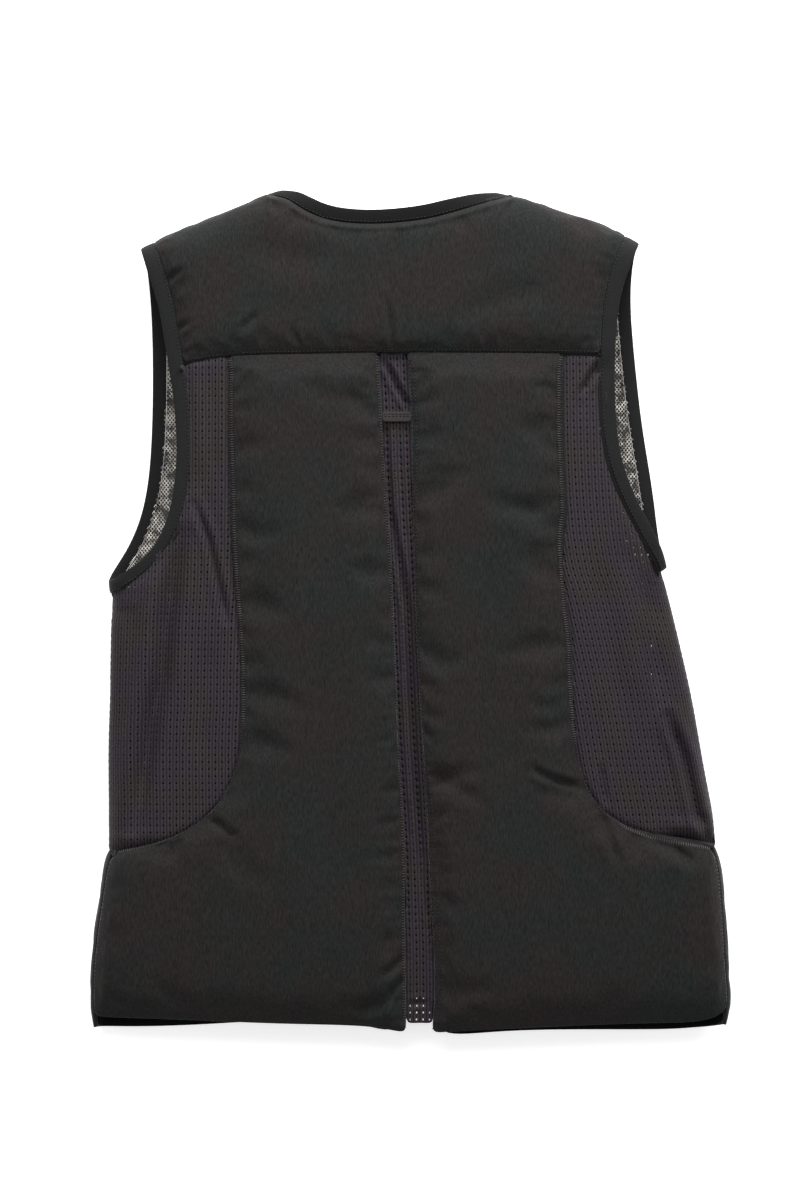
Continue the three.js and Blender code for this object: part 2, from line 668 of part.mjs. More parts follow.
// Yoke: from the yoke seam up to the neck, and over both shoulders a little way down the front.
function yoke() {
  const sideColumn = (side) =>
    armRows[side].yoke
      .map((t, j) => {
        const p = arm[side](t, CLOTH_INSET);
        const { x, y } = planOf(side, p.x, p.y);
        return ridgeChart(BACK, x, j === YOKE_ROWS ? yokeY(x) + HALF_GAP : y);
      })
      .reverse();
  const left = sideColumn(LEFT);
  const right = sideColumn(RIGHT);
  const shares = {
    [LEFT]: crowded(SHOULDER_COLUMNS, 0, 1, 0.6, 0),
    [RIGHT]: crowded(SHOULDER_COLUMNS, 0, 1, 0, 0.6),
  };
  const stretch = (side, outer, inner) =>
    shares[side].map((u) =>
      side === LEFT ? outer.clone().lerp(inner, u) : inner.clone().lerp(outer, u),
    );
  const crest = neckRows.back.map((t) => neck(t, CLOTH_INSET));
  const top = [
    ...stretch(LEFT, left[YOKE_ROWS], crest[0]),
    ...crest.slice(1, -1),
    ...stretch(RIGHT, right[YOKE_ROWS], crest[NECK_COLUMNS]),
  ];
  const last = top.length - 1;
  const bottom = top.map((p) => {
    const share = (p.x - top[0].x) / (top[last].x - top[0].x);
    const x = THREE.MathUtils.lerp(left[0].x, right[0].x, share);
    return ridgeChart(BACK, x, yokeY(x) + HALF_GAP);
  });
  const flat = coons(bottom, top, left, right);
  // The rows past the ridge exist beside the neck only.
  for (let j = 1; j <= WRAP_ROWS; j++) {
    const over = (side) => {
      const p = arm[side](armRows[side].wrap[WRAP_ROWS - j], CLOTH_INSET);
      const outer = new THREE.Vector2(planOf(side, p.x, p.y).x, p.y);
      return stretch(side, outer, neck(neckRows[side].wrap[WRAP_ROWS - j], CLOTH_INSET));
    };
    const idle = top.slice(SHOULDER_COLUMNS + 1, last - SHOULDER_COLUMNS);
    flat.push([...over(LEFT), ...idle, ...over(RIGHT)]);
  }
  const shoulder = (i) => i < SHOULDER_COLUMNS || i >= last - SHOULDER_COLUMNS;
  const back = padded(flat.slice(0, YOKE_ROWS + 1), overRidge, BACK_PAD);
  const sides = {
    [LEFT]: padded(flat.map((p) => p.slice(0, SHOULDER_COLUMNS + 1)), overRidge, BACK_PAD),
    [RIGHT]: padded(flat.map((p) => p.slice(-SHOULDER_COLUMNS - 1)), overRidge, BACK_PAD),
  };
  // Beside the neck the pad runs over the ridge, thinner there; behind the neck it thins to the
  // binding.
  const thick = (j, i) => {
    const fromRight = i - last + SHOULDER_COLUMNS;
    let swelling = j <= YOKE_ROWS ? back(j, i) : SEAM_EDGE;
    if (i <= SHOULDER_COLUMNS) swelling = Math.max(swelling, sides[LEFT](j, i));
    if (fromRight >= 0) swelling = Math.max(swelling, sides[RIGHT](j, fromRight));
    const taper = THREE.MathUtils.smoothstep(Math.abs(flat[j][i].y), 0, SHOULDER_TAPER);
    const full = THREE.MathUtils.lerp(SHOULDER_PAD, BACK_PAD, taper);
    const share = (swelling - SEAM_EDGE) / (BACK_PAD - SEAM_EDGE);
    return SEAM_EDGE + (full - SEAM_EDGE) * share;
  };
  const keep = (j, i) => j < YOKE_ROWS || shoulder(i);
  add("yoke", wall(flat, overRidge, { thick, keep }), PAD_CLOTH);
}

// Seam between a back pad and the side knit, from the yoke down and out to the side.
function knitSeam(side) {
  const points = KNIT_SEAM[side].map((row) =>
    foldChart(side, BACK, side * row.across * HALF, row.up * LENGTH),
  );
  const y = KNIT_END[side] * LENGTH;
  points.push(foldChart(side, BACK, side * (foldX(side, y) - roll(LOWER_SEAM)), y));
  return edge(points, 1);
}
const seam = { [LEFT]: knitSeam(LEFT), [RIGHT]: knitSeam(RIGHT) };
const KNIT_ROWS = ARM_KNIT_ROWS + FRONT_KNIT_ROWS;
const seamRows = crowded(KNIT_ROWS, 0, 1, 0.45, 0);

// The same seam on the front, from the armhole down and out to the side.
function frontKnitSeam(side) {
  const points = FRONT_KNIT_SEAM.map((row) => {
    const y = row.up * LENGTH;
    return foldChart(side, FRONT, side * (foldX(side, y) - roll(row.out * FRONT_KNIT)), y);
  });
  const top = arm[side](armRows[side].front[0], CLOTH_INSET);
  return edge([top, ...points, seam[side](1)], 1);
}
const frontSeam = { [LEFT]: frontKnitSeam(LEFT), [RIGHT]: frontKnitSeam(RIGHT) };
const frontSeamRows = even(FRONT_KNIT_ROWS);

// Sets a place on the yoke seam, which the pieces below it share.
function toYokeSeam(side, p) {
  const { x } = planOf(side, p.x, p.y);
  return foldChart(side, BACK, x, yokeY(x) - HALF_GAP);
}
const belowYoke = (side, from, to, shares) =>
  shares.map((u) => toYokeSeam(side, from.clone().lerp(to, u)));

// The place on a hem at a cloth distance from the side fold.
function onHem(side, layer, s, clear = 0) {
  let w = LENGTH;
  for (let turn = 0; turn < 8; turn++) {
    const { x } = planOf(side, s, w);
    w = unroll(ridgeY(x) - hemY(layer, x) - clear);
  }
  return new THREE.Vector2(s, w);
}
const lerpAll = (from, to, shares) => shares.map((u) => from.clone().lerp(to, u));

const lowerRows = crowded(LOWER_ROWS, 0, 1, 0, 0.6);
const padColumns = crowded(PAD_COLUMNS);
const frontColumns = crowded(FRONT_COLUMNS, 0, 1, 0.88, 0.6);

// Back pad: from the centre strip out to the knit seam, and below the knit out to the side.
function backPad(side) {
  const outer = seamRows.map((t) => seam[side](t, HALF_GAP));
  outer[0] = toYokeSeam(side, outer[0]);
  const corner = outer[KNIT_ROWS].setX(-LOWER_SEAM - HALF_GAP);
  const foot = onHem(side, BACK, corner.x);
  outer.push(...lerpAll(corner, foot, lowerRows).slice(1));
  const topY = yokeY(0) - HALF_GAP;
  const footY = hemY(BACK, stripX(side, 0));
  const knitShare = KNIT_ROWS / (KNIT_ROWS + LOWER_ROWS);
  const shares = [
    ...seamRows.map((t) => t * knitShare),
    ...lowerRows.slice(1).map((t) => THREE.MathUtils.lerp(knitShare, 1, t)),
  ];
  const inner = shares.map((t) => {
    const y = THREE.MathUtils.lerp(topY, footY, t);
    return foldChart(side, BACK, stripX(side, y) + side * HALF_GAP, y);
  });
  const top = belowYoke(side, outer[0], inner[0], padColumns);
  const hem = padColumns.map((u) =>
    onHem(side, BACK, THREE.MathUtils.lerp(corner.x, inner[inner.length - 1].x, u)),
  );
  const flat = coons(top, hem, outer, inner);
  const lay = besideFold(side);
  const thick = padded(flat, lay, BACK_PAD);
  add(onSide("back_pad", side), wall(flat, lay, { thick }), PAD_CLOTH);
  return inner;
}

// Side knit: from the back seam out round the side fold to the front seam.
function sideKnit(side) {
  const inner = seamRows.map((t) => seam[side](t, -HALF_GAP));
  const outer = [
    ...armRows[side].knit.map((t) => arm[side](t, CLOTH_INSET)),
    ...frontSeamRows.slice(1).map((t) => frontSeam[side](t, SEAM_GAP)),
  ];
  inner[0] = toYokeSeam(side, inner[0]);
  outer[0] = toYokeSeam(side, outer[0]);
  const top = belowYoke(side, inner[0], outer[0], even(KNIT_COLUMNS));
  const foot = lerpAll(inner[KNIT_ROWS], outer[KNIT_ROWS], even(KNIT_COLUMNS));
  const flat = coons(top, foot, inner, outer);
  const lay = besideFold(side);
  add(onSide("side_knit", side), wall(flat, lay, { thick: () => KNIT }), KNIT_CLOTH);
}

// Centre strip: perforated knit between the two back pads, sunk between them.
function centreStrip(edges) {
  const lay = besideFold(LEFT);
  const flat = edges[LEFT].map((p, j) => {
    const from = planOf(LEFT, p.x, p.y);
    const to = planOf(RIGHT, edges[RIGHT][j].x, edges[RIGHT][j].y);
    const clear = SEAM_GAP / (to.x - from.x);
    return even(STRIP_COLUMNS, clear, 1 - clear).map((u) => {
      const x = THREE.MathUtils.lerp(from.x, to.x, u);
      return foldChart(LEFT, BACK, x, THREE.MathUtils.lerp(from.y, to.y, u));
    });
  });
  const lift = (_, i) => STRIP_SAG * Math.sin((Math.PI * i) / STRIP_COLUMNS);
  add("centre_strip", wall(flat, lay, { thick: () => KNIT, lift }), KNIT_CLOTH);
}

// Hang tab: a short tape across the strip, sewn at its ends and bowed a little off it.
function hangTab() {
  const lay = besideFold(LEFT);
  const flat = even(2).map((v) => {
    const y = TAB_TOP * LENGTH - v * TAB_HEIGHT;
    return even(TAB_COLUMNS).map((u) => {
      const from = stripX(LEFT, y) + SEAM_GAP;
      const to = stripX(RIGHT, y) - SEAM_GAP;
      return foldChart(LEFT, BACK, THREE.MathUtils.lerp(from, to, u), y);
    });
  });
  const seat = (KNIT + TAB_THICK) / 2 + SEAM_GAP;
  const lift = (_, i) => {
    const bow = Math.sin((Math.PI * i) / TAB_COLUMNS);
    return (STRIP_SAG - TAB_BOW) * bow - seat;
  };
  add("hang_tab", wall(flat, lay, { thick: () => TAB_THICK, lift }), BINDING_CLOTH);
}

// Bindings: folded elastic, thinner at its two edges.
const BINDING_PROFILE = [
  { inset: 0, thick: 0.55 },
  { inset: 0.2, thick: 1 },
  { inset: 0.75, thick: 1 },
  { inset: 1, thick: 0.75 },
];
const bindingThick = (_, i) => BINDING_PROFILE[i].thick * BINDING;
const bindingRow = (edgeAt) => (t) => BINDING_PROFILE.map((p) => edgeAt(t, p.inset * BIND_WIDTH));

function armholeBinding(side) {
  const rows = armRows[side];
  const stations = [rows.yoke, rows.knit.slice(1), rows.front.slice(1), rows.wrap.slice(1, -1)];
  const flat = stations.flat().map(bindingRow(arm[side]));
  const geometry = wall(flat, besideFold(side), { thick: bindingThick, ring: true });
  add(onSide("armhole_binding", side), geometry, BINDING_CLOTH);
}

function neckBinding() {
  const { [LEFT]: left, [RIGHT]: right, back } = neckRows;
  const stations = [
    left.front,
    left.wrap.slice(1),
    back.slice(1),
    [...right.wrap].reverse().slice(1),
    [...right.front].reverse().slice(1),
  ];
  const flat = stations.flat().map(bindingRow(neck));
  add("neck_binding", wall(flat, overRidge, { thick: bindingThick }), BINDING_CLOTH);
}

// Front panel with its lining and hem facing: from the shoulder to the hem, and from the zip out
// round the side below the knit.
function frontPanel(side) {
  const lay = besideFold(side);
  const fromRidge = (p) => foldChart(side, FRONT, p.x, ridgeY(p.x) - roll(p.y));
  const outer = [
    ...[...armRows[side].front].reverse().map((t) => arm[side](t, CLOTH_INSET)),
    ...frontSeamRows.slice(1).map((t) => frontSeam[side](t, -HALF_GAP)),
  ];
  const corner = outer[outer.length - 1].setX(-LOWER_SEAM + HALF_GAP);
  corner.y += HALF_GAP;
  outer.push(...lerpAll(corner, onHem(side, FRONT, corner.x), lowerRows).slice(1));
  const necks = neckRows[side].front.map((t) => fromRidge(neck(t, CLOTH_INSET))).reverse();
  const top = necks[necks.length - 1];
  const topY = planOf(side, top.x, top.y).y;
  const zipRows = outer.length - necks.length;
  // Beside the zip the edge is straight; below its foot it leans back and turns into the hem.
  const zipEdge = (y) => {
    const below = THREE.MathUtils.clamp(1 - y / (ZIP_FOOT * LENGTH), 0, 1);
    return zipSideX(side, y) + side * (NOTCH_HALF - ZIP_HALF) * below;
  };
  const cornerY = hemY(FRONT, zipEdge(0)) + CORNER_ROUND;
  const inner = [
    ...necks,
    ...crowded(zipRows, 0, 1, 0, 0.5)
      .slice(1)
      .map((t) => {
        const y = THREE.MathUtils.lerp(topY, cornerY, t);
        return foldChart(side, FRONT, zipEdge(y), y);
      }),
  ];
  // The first row leaves half the seam's gap to the yoke.
  outer[0].y += HALF_GAP;
  inner[0].y += HALF_GAP;
  const innerFoot = inner[inner.length - 1];
  const hem = frontColumns.map((u) => {
    const s = THREE.MathUtils.lerp(corner.x, innerFoot.x, u);
    const round = THREE.MathUtils.clamp(1 - (innerFoot.x - s) / CORNER_ROUND, 0, 1);
    return onHem(side, FRONT, s, CORNER_ROUND * (1 - Math.sqrt(1 - round * round)));
  });
  hem[FRONT_COLUMNS] = innerFoot;
  const flat = coons(lerpAll(outer[0], inner[0], frontColumns), hem, outer, inner);
  const pad = padded(flat, lay, FRONT_PAD);
  add(onSide("front_panel", side), wall(flat, lay, { thick: pad }), PAD_CLOTH);

  // The cloths inside follow the pad's inner face. Its own cloth is there, so they stop with it.
  const inside = (first, last, name, material) => {
    const rows = flat.slice(first, last + 1);
    if (first > 0) rows[0] = rows[0].map((p) => p.clone().setY(p.y + SEAM_GAP));
    const lift = (j, i) => (pad(first + j, i) + LINING) / 2 + SEAM_GAP;
    const keep = (j, i) => i > 0 || first + j < FRONT_ARM_ROWS;
    add(onSide(name, side), wall(rows, lay, { thick: () => LINING, lift, keep }), material);
  };
  const seamRow = flat.length - 1 - FACING_ROWS;
  inside(0, seamRow, "front_lining", MESH_CLOTH);
  inside(seamRow, flat.length - 1, "hem_facing", BINDING_CLOTH);
}

// Front zip, closed: two tapes with a raised chain of teeth between them.
function frontZip() {
  const profile = [
    { across: -ZIP_HALF, thick: ZIP_TAPE },
    { across: -ZIP_TEETH_HALF - 1, thick: ZIP_TAPE },
    { across: -ZIP_TEETH_HALF, thick: ZIP_TEETH },
    { across: ZIP_TEETH_HALF, thick: ZIP_TEETH },
    { across: ZIP_TEETH_HALF + 1, thick: ZIP_TAPE },
    { across: ZIP_HALF, thick: ZIP_TAPE },
  ];
  const flat = even(ZIP_ROWS, ZIP_TOP * LENGTH, ZIP_FOOT * LENGTH).map((y) =>
    profile.map((p) => foldChart(LEFT, FRONT, zipX(y) + p.across, y)),
  );
  const thick = (_, i) => profile[i].thick;
  add("front_zip", wall(flat, besideFold(LEFT), { thick }), ZIP_CLOTH);
}

yoke();
hangTab();
const stripEdges = {};
for (const side of [LEFT, RIGHT]) {
  stripEdges[side] = backPad(side);
  sideKnit(side);
  armholeBinding(side);
  frontPanel(side);
}
centreStrip(stripEdges);
neckBinding();
frontZip();

// The part stands on its lowest face, centred over the origin.
const box = new THREE.Box3().setFromObject(vest);
const centre = box.getCenter(new THREE.Vector3());
vest.position.set(-centre.x, -centre.y, -box.min.z);

export default vest;
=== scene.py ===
# %% [markdown]
# # An airbag vest for riding, laid face down
# The vest is a flat tube of cloth. Its back lies uppermost: a padded yoke over the shoulders, two long
# pads beside a strip of perforated knit, and perforated knit round each side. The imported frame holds
# each of these as a plain wall of cloth. Here every wall gets the form of sewn, filled fabric.

# %% Load the frame
import math
import random

import bmesh
import bpy
import numpy as np
from mathutils import Matrix, Vector
from mathutils.bvhtree import BVHTree


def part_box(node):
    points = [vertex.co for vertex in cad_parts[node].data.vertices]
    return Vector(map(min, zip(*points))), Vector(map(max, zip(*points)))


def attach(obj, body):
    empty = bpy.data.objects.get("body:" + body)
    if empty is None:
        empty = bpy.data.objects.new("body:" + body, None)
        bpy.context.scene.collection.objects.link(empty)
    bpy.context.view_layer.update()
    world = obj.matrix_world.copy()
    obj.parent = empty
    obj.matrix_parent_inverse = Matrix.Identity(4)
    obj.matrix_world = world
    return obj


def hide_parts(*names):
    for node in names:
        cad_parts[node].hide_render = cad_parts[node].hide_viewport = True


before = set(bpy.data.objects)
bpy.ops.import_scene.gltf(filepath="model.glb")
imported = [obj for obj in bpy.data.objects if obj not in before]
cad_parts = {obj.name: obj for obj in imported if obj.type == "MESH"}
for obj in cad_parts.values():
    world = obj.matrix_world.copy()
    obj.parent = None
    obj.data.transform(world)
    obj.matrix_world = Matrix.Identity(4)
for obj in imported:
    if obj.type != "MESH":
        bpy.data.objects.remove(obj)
scene = bpy.context.scene
MM = 0.001
LEFT, RIGHT = -1, 1
SIDES = {"left": LEFT, "right": RIGHT}
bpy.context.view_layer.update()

# %% [markdown]
# ## The camera
# A garment laid on a table is seen from straight above. One pixel of the picture covers 0.8 mm of cloth,
# and a long lens far away keeps the sides of the vest from leaning. The folds further down are given as
# places in the picture, so the same scale turns a pixel into a place on the table.

# %% Camera over the table
PICTURE = (800, 1200)
PIXEL = 0.8 * MM
ORIGIN_PIXEL = (410, 613.75)
EYE_HEIGHT = 2500 * MM
CLOTH_HEIGHT = 25 * MM


def plan(px, py):
    """The place on the table under a pixel of the picture."""
    return Vector(((px - ORIGIN_PIXEL[0]) * PIXEL, (ORIGIN_PIXEL[1] - py) * PIXEL, 0))


camera = bpy.data.objects.new("camera", bpy.data.cameras.new("camera"))
scene.collection.objects.link(camera)
camera.location = plan(PICTURE[0] / 2, PICTURE[1] / 2) + Vector((0, 0, CLOTH_HEIGHT + EYE_HEIGHT))
camera.data.lens = camera.data.sensor_width * EYE_HEIGHT / (PICTURE[1] * PIXEL)
scene.camera = camera
print("lens in mm:", round(camera.data.lens, 1))

# %% [markdown]
# ## Light and table
# Black cloth shows its shape only by soft light that grazes it. Two wide panels beyond the head, in a
# pale surround, give the rolled shoulder a light edge, fade towards the hem and leave the seams dark.

# %% Table and soft light
TABLE_RADIUS = 9.0
WHITE_LEVEL = 0.6


def softbox(name, place, width, length, power):
    """A flat panel of light that faces the middle of the vest."""
    panel = bpy.data.lights.new(name, "AREA")
    panel.shape = "RECTANGLE"
    panel.size = width
    panel.size_y = length
    panel.energy = power
    lamp = bpy.data.objects.new(name, panel)
    lamp.location = place
    lamp.rotation_euler = (-Vector(place)).to_track_quat("-Z", "Y").to_euler()
    scene.collection.objects.link(lamp)


SOFTBOXES = {
    "light_above": {"place": (-0.3, 1.3, 2.0), "width": 1.2, "length": 1.2, "power": 34},
    "light_head": {"place": (0.4, 1.8, 0.8), "width": 1.8, "length": 0.6, "power": 80},
}
for name, panel in SOFTBOXES.items():
    softbox(name, **panel)
    print(name, "gives", panel["power"], "watts")
scene.view_settings.view_transform = "Standard"

# %% [markdown]
# ## Colour and node helpers
# A hex colour is what the eye sees on a screen, and a shader wants light in linear steps, so one function
# turns one to the other. Another adds a node with its settings and links, which keeps each material short.

# %% Colour and node helpers


def linear(code):
    """A hex sRGB colour as linear RGBA."""
    parts = [int(code[i : i + 2], 16) / 255 for i in (1, 3, 5)]
    return (*(c / 12.92 if c <= 0.04045 else ((c + 0.055) / 1.055) ** 2.4 for c in parts), 1)


def node(material, kind, settings=(), links=()):
    """Adds a node: settings are its options or input values, links the sockets that feed its inputs."""
    made = material.node_tree.nodes.new(kind)
    for key, value in dict(settings).items():
        if isinstance(key, str) and hasattr(made, key):
            setattr(made, key, value)
        else:
            made.inputs[key].default_value = value
    for key, socket in dict(links).items():
        material.node_tree.links.new(socket, made.inputs[key])
    return made


def fabric(name, **settings):
    """An empty material with its shader, whose constant values are set on the shader itself."""
    material = bpy.data.materials.new(name)
    material.use_nodes = True
    shader = material.node_tree.nodes["Principled BSDF"]
    for key, value in settings.items():
        shader.inputs[key.replace("_", " ")].default_value = value
    return material, shader


def finish_fabric(material, shader, colour, height, depth):
    """Feeds a shader its colour and a bump of the given depth in metres."""
    bump = node(material, "ShaderNodeBump", {"Strength": 1.0, "Distance": depth}, {"Height": height})
    material.node_tree.links.new(colour, shader.inputs["Base Color"])
    material.node_tree.links.new(bump.outputs["Normal"], shader.inputs["Normal"])


print("white paper in linear light:", [round(v, 3) for v in linear("#f4f4f4")])

# %% [markdown]
# The table is a sheet of white acrylic lit a little from below, as product tables are, so that the vest
# casts almost no shadow. The room round it is pale too.

# %% White table
TABLE_GLOW = 0.5
board, board_shader = fabric("white_acrylic", Roughness=0.9, Emission_Strength=TABLE_GLOW)
board_shader.inputs["Base Color"].default_value = linear("#f3f3f3")
board_shader.inputs["Emission Color"].default_value = linear("#ffffff")
table_mesh = bmesh.new()
bmesh.ops.create_circle(table_mesh, cap_ends=True, segments=64, radius=TABLE_RADIUS)
bmesh.ops.recalc_face_normals(table_mesh, faces=table_mesh.faces)
table = bpy.data.objects.new("table", bpy.data.meshes.new("table"))
table_mesh.to_mesh(table.data)
table_mesh.free()
table.data.materials.append(board)
scene.collection.objects.link(table)
air = bpy.data.worlds.new("pale_room")
air.use_nodes = True
air.node_tree.nodes["Background"].inputs["Color"].default_value = linear("#ffffff")
air.node_tree.nodes["Background"].inputs["Strength"].default_value = WHITE_LEVEL
scene.world = air
print("table radius in m:", TABLE_RADIUS)

# %% [markdown]
# ## Softshell
# The pads are covered in softshell: a polyester face knitted so finely that it looks matt black, bonded
# to a backing. The fibres run along the body, so what the eye catches is a faint heather of short upright
# streaks. Two noises make it, one drawn out along the body, and a broad one gives the slight patchiness.

# %% Softshell
FIBRE = 0.9 * MM
STREAK = 5.0 * MM
PATCH = 55 * MM
NAP = 0.35 * MM


def brushed_cloth(name, dark, light):
    """Black cloth with upright streaks. dark and light are pairs of colours that patches mix."""
    material, shader = fabric(
        name, Roughness=0.9, Sheen_Weight=0.2, Sheen_Roughness=0.3, Specular_IOR_Level=0.08
    )
    place = node(material, "ShaderNodeTexCoord").outputs["Object"]
    grain = node(
        material, "ShaderNodeMapping", {"Scale": (1 / FIBRE, 1 / STREAK, 1 / FIBRE)}, {"Vector": place}
    )
    streaks = node(
        material,
        "ShaderNodeTexNoise",
        {"Scale": 1.0, "Detail": 3.0, "Roughness": 0.65},
        {"Vector": grain.outputs["Vector"]},
    ).outputs["Fac"]
    cloud = node(
        material, "ShaderNodeTexNoise", {"Scale": 1 / PATCH, "Detail": 2.0}, {"Vector": place}
    ).outputs["Fac"]
    patches = node(
        material, "ShaderNodeMapRange", {"From Min": 0.38, "From Max": 0.62}, {"Value": cloud}
    ).outputs["Result"]
    tones = [
        node(
            material,
            "ShaderNodeMix",
            {"data_type": "RGBA", 6: linear(pair[0]), 7: linear(pair[1])},
            {0: patches},
        ).outputs[2]
        for pair in (dark, light)
    ]
    step = node(material, "ShaderNodeMapRange", {"From Min": 0.32, "From Max": 0.68}, {"Value": streaks})
    colour = node(
        material,
        "ShaderNodeMix",
        {"data_type": "RGBA"},
        {0: step.outputs["Result"], 6: tones[0], 7: tones[1]},
    )
    finish_fabric(material, shader, colour.outputs[2], streaks, NAP)
    return material


softshell = brushed_cloth("brushed_softshell", ("#131514", "#171414"), ("#222423", "#272323"))
# The hem facings take a near-black copy of the softshell: painted shade for the inside of the hem, which
# lies in shadow under the back.
hem_shade_softshell = brushed_cloth("softshell_painted_shade", ("#020202", "#030303"), ("#050505", "#060606"))
print("softshell: streaks of", FIBRE / MM, "by", STREAK / MM, "mm")

# %% [markdown]
# ## Perforated knit
# The sides and the strip down the back are a warp knit with rows of eyelets, for air. Between two columns
# of holes run fine ribs, drawn here twice as coarse as they are so that they show. The holes are real
# ones, cut in the mesh. The ribs are a wave on the cloth's own flat coordinates, so they bend with it
# round the fold. Broad random patches are painted brown and plum: painted light and shade, the hue that
# the knit shows where it turns to the light and where it turns away.

# %% Perforated knit
RIB = 2.6 * MM
RIB_DEPTH = 0.25 * MM
KNIT_GRAIN = 2.2 * MM
KNIT_PATCH = 45 * MM
knit, knit_shader = fabric(
    "warp_knit_polyester", Roughness=0.75, Sheen_Weight=0.05, Sheen_Roughness=0.4, Specular_IOR_Level=0.15
)
knit_place = node(knit, "ShaderNodeUVMap", {"uv_map": "cut"}).outputs["UV"]
knit_ribs = node(
    knit,
    "ShaderNodeTexWave",
    {
        "wave_type": "BANDS",
        "bands_direction": "X",
        "Scale": math.tau / 20 / RIB,
        "Distortion": 0.5,
        "Detail": 1.0,
    },
    {"Vector": knit_place},
)
knit_noise = node(
    knit, "ShaderNodeTexNoise", {"Scale": 1 / KNIT_GRAIN, "Detail": 3.0}, {"Vector": knit_place}
)
knit_mix = node(
    knit,
    "ShaderNodeMath",
    {"operation": "MULTIPLY"},
    {0: knit_ribs.outputs["Fac"], 1: knit_noise.outputs["Fac"]},
)
# Painted light and shade: broad random patches of brown stand for knit turned to the light, and of plum
# for knit turned away from it.
knit_cloud = node(
    knit, "ShaderNodeTexNoise", {"Scale": 1 / KNIT_PATCH, "Detail": 1.0}, {"Vector": knit_place}
)
knit_hue_patch = node(
    knit, "ShaderNodeMapRange", {"From Min": 0.4, "From Max": 0.6}, {"Value": knit_cloud.outputs["Fac"]}
)
knit_painted_hue = node(
    knit,
    "ShaderNodeMix",
    {"data_type": "RGBA", 6: linear("#38303b"), 7: linear("#393331")},
    {0: knit_hue_patch.outputs["Result"]},
)
knit_colour = node(
    knit,
    "ShaderNodeMix",
    {"data_type": "RGBA", 6: linear("#151215")},
    {0: knit_mix.outputs["Value"], 7: knit_painted_hue.outputs[2]},
)
finish_fabric(knit, knit_shader, knit_colour.outputs[2], knit_mix.outputs["Value"], RIB_DEPTH)
print("knit: ribs every", RIB / MM, "mm")

# %% [markdown]
# ## Elastic binding
# The armholes and the neck are edged with folded elastic, woven in fine ribs across its length. It is
# matt, and a shade darker than the softshell. At the neck the same elastic is painted darker still:
# painted shade, for the shadow that the neck binding lies in below the yoke's padded edge.

# %% Elastic binding
LOOM_GRAIN = 1.1 * MM
LOOM_DEPTH = 0.25 * MM


def woven(name, dark, light):
    """A tape woven so tightly that only a fine grain shows."""
    material, shader = fabric(
        name, Roughness=0.85, Sheen_Weight=0.05, Sheen_Roughness=0.4, Specular_IOR_Level=0.15
    )
    grain = node(
        material,
        "ShaderNodeTexNoise",
        {"Scale": 1 / LOOM_GRAIN, "Detail": 2.0, "Roughness": 0.6},
        {"Vector": node(material, "ShaderNodeTexCoord").outputs["Object"]},
    ).outputs["Fac"]
    colour = node(
        material,
        "ShaderNodeMix",
        {"data_type": "RGBA", 6: linear(dark), 7: linear(light)},
        {0: grain},
    )
    finish_fabric(material, shader, colour.outputs[2], grain, LOOM_DEPTH)
    return material


elastic = woven("woven_elastic", "#0a0b0b", "#181918")
# The neck's elastic is the same tape painted darker: painted shade for the shadow below the yoke's edge.
collar_elastic_painted_shade = woven("woven_elastic_neck_painted_shade", "#030303", "#090909")
tab_tape = woven("woven_polyester_tape", "#1b1919", "#353130")
print("tape grain in mm:", LOOM_GRAIN / MM)

# %% [markdown]
# Sewing thread is twisted polyester: smoother than the cloth, so each stitch catches a small light. The
# topstitching is black, and the thread that binds the knit is dark grey.

# %% Sewing thread
THREAD_SHADES = 6 * MM


def twisted(name, dark, light):
    """Sewing thread whose shade drifts along the seam."""
    material, shader = fabric(name, Roughness=0.55, Specular_IOR_Level=0.3)
    drift = node(
        material,
        "ShaderNodeTexNoise",
        {"Scale": 1 / THREAD_SHADES, "Detail": 1.0},
        {"Vector": node(material, "ShaderNodeTexCoord").outputs["Object"]},
    ).outputs["Fac"]
    colour = node(
        material,
        "ShaderNodeMix",
        {"data_type": "RGBA", 6: linear(dark), 7: linear(light)},
        {0: drift},
    )
    material.node_tree.links.new(colour.outputs[2], shader.inputs["Base Color"])
    return material


black_thread = twisted("twisted_thread_black", "#060606", "#1b1a1a")
grey_thread = twisted("twisted_thread_grey", "#262324", "#454041")
print("thread shades drift over", THREAD_SHADES / MM, "mm")

# %% [markdown]
# ## Silver net
# The inside is lined with a silver tricot net of small diamonds. Its yarn is bright filament, and its
# glints are painted: its colour runs in patches from dark grey to near white, painted highlights and
# shade for the light that the folded yarn catches. What lies behind it is dark. The yarn's pattern on
# the sheet is the crossing of two slanting waves, 2.8 mm wide and 3.5 mm tall to a diamond.

# %% Silver net
DIAMOND = (2.8 * MM, 3.5 * MM)
YARN = 0.3
YARN_DEPTH = 0.3 * MM
GLINT = 8 * MM
net, net_shader = fabric("silver_tricot_net", Roughness=0.45, Specular_IOR_Level=0.5)
net_place = node(net, "ShaderNodeTexCoord").outputs["Object"]
net_cells = node(
    net,
    "ShaderNodeMapping",
    {"Scale": (math.pi / DIAMOND[0], math.pi / DIAMOND[1], 1)},
    {"Vector": net_place},
)
net_axes = node(net, "ShaderNodeSeparateXYZ", {}, {"Vector": net_cells.outputs["Vector"]})
net_waves = []
for slant in ("ADD", "SUBTRACT"):
    turned = node(
        net, "ShaderNodeMath", {"operation": slant}, {0: net_axes.outputs["X"], 1: net_axes.outputs["Y"]}
    )
    wave = node(net, "ShaderNodeMath", {"operation": "SINE"}, {0: turned.outputs["Value"]})
    net_waves.append(
        node(net, "ShaderNodeMath", {"operation": "ABSOLUTE"}, {0: wave.outputs["Value"]})
    )
net_least = node(
    net,
    "ShaderNodeMath",
    {"operation": "MINIMUM"},
    {0: net_waves[0].outputs["Value"], 1: net_waves[1].outputs["Value"]},
)
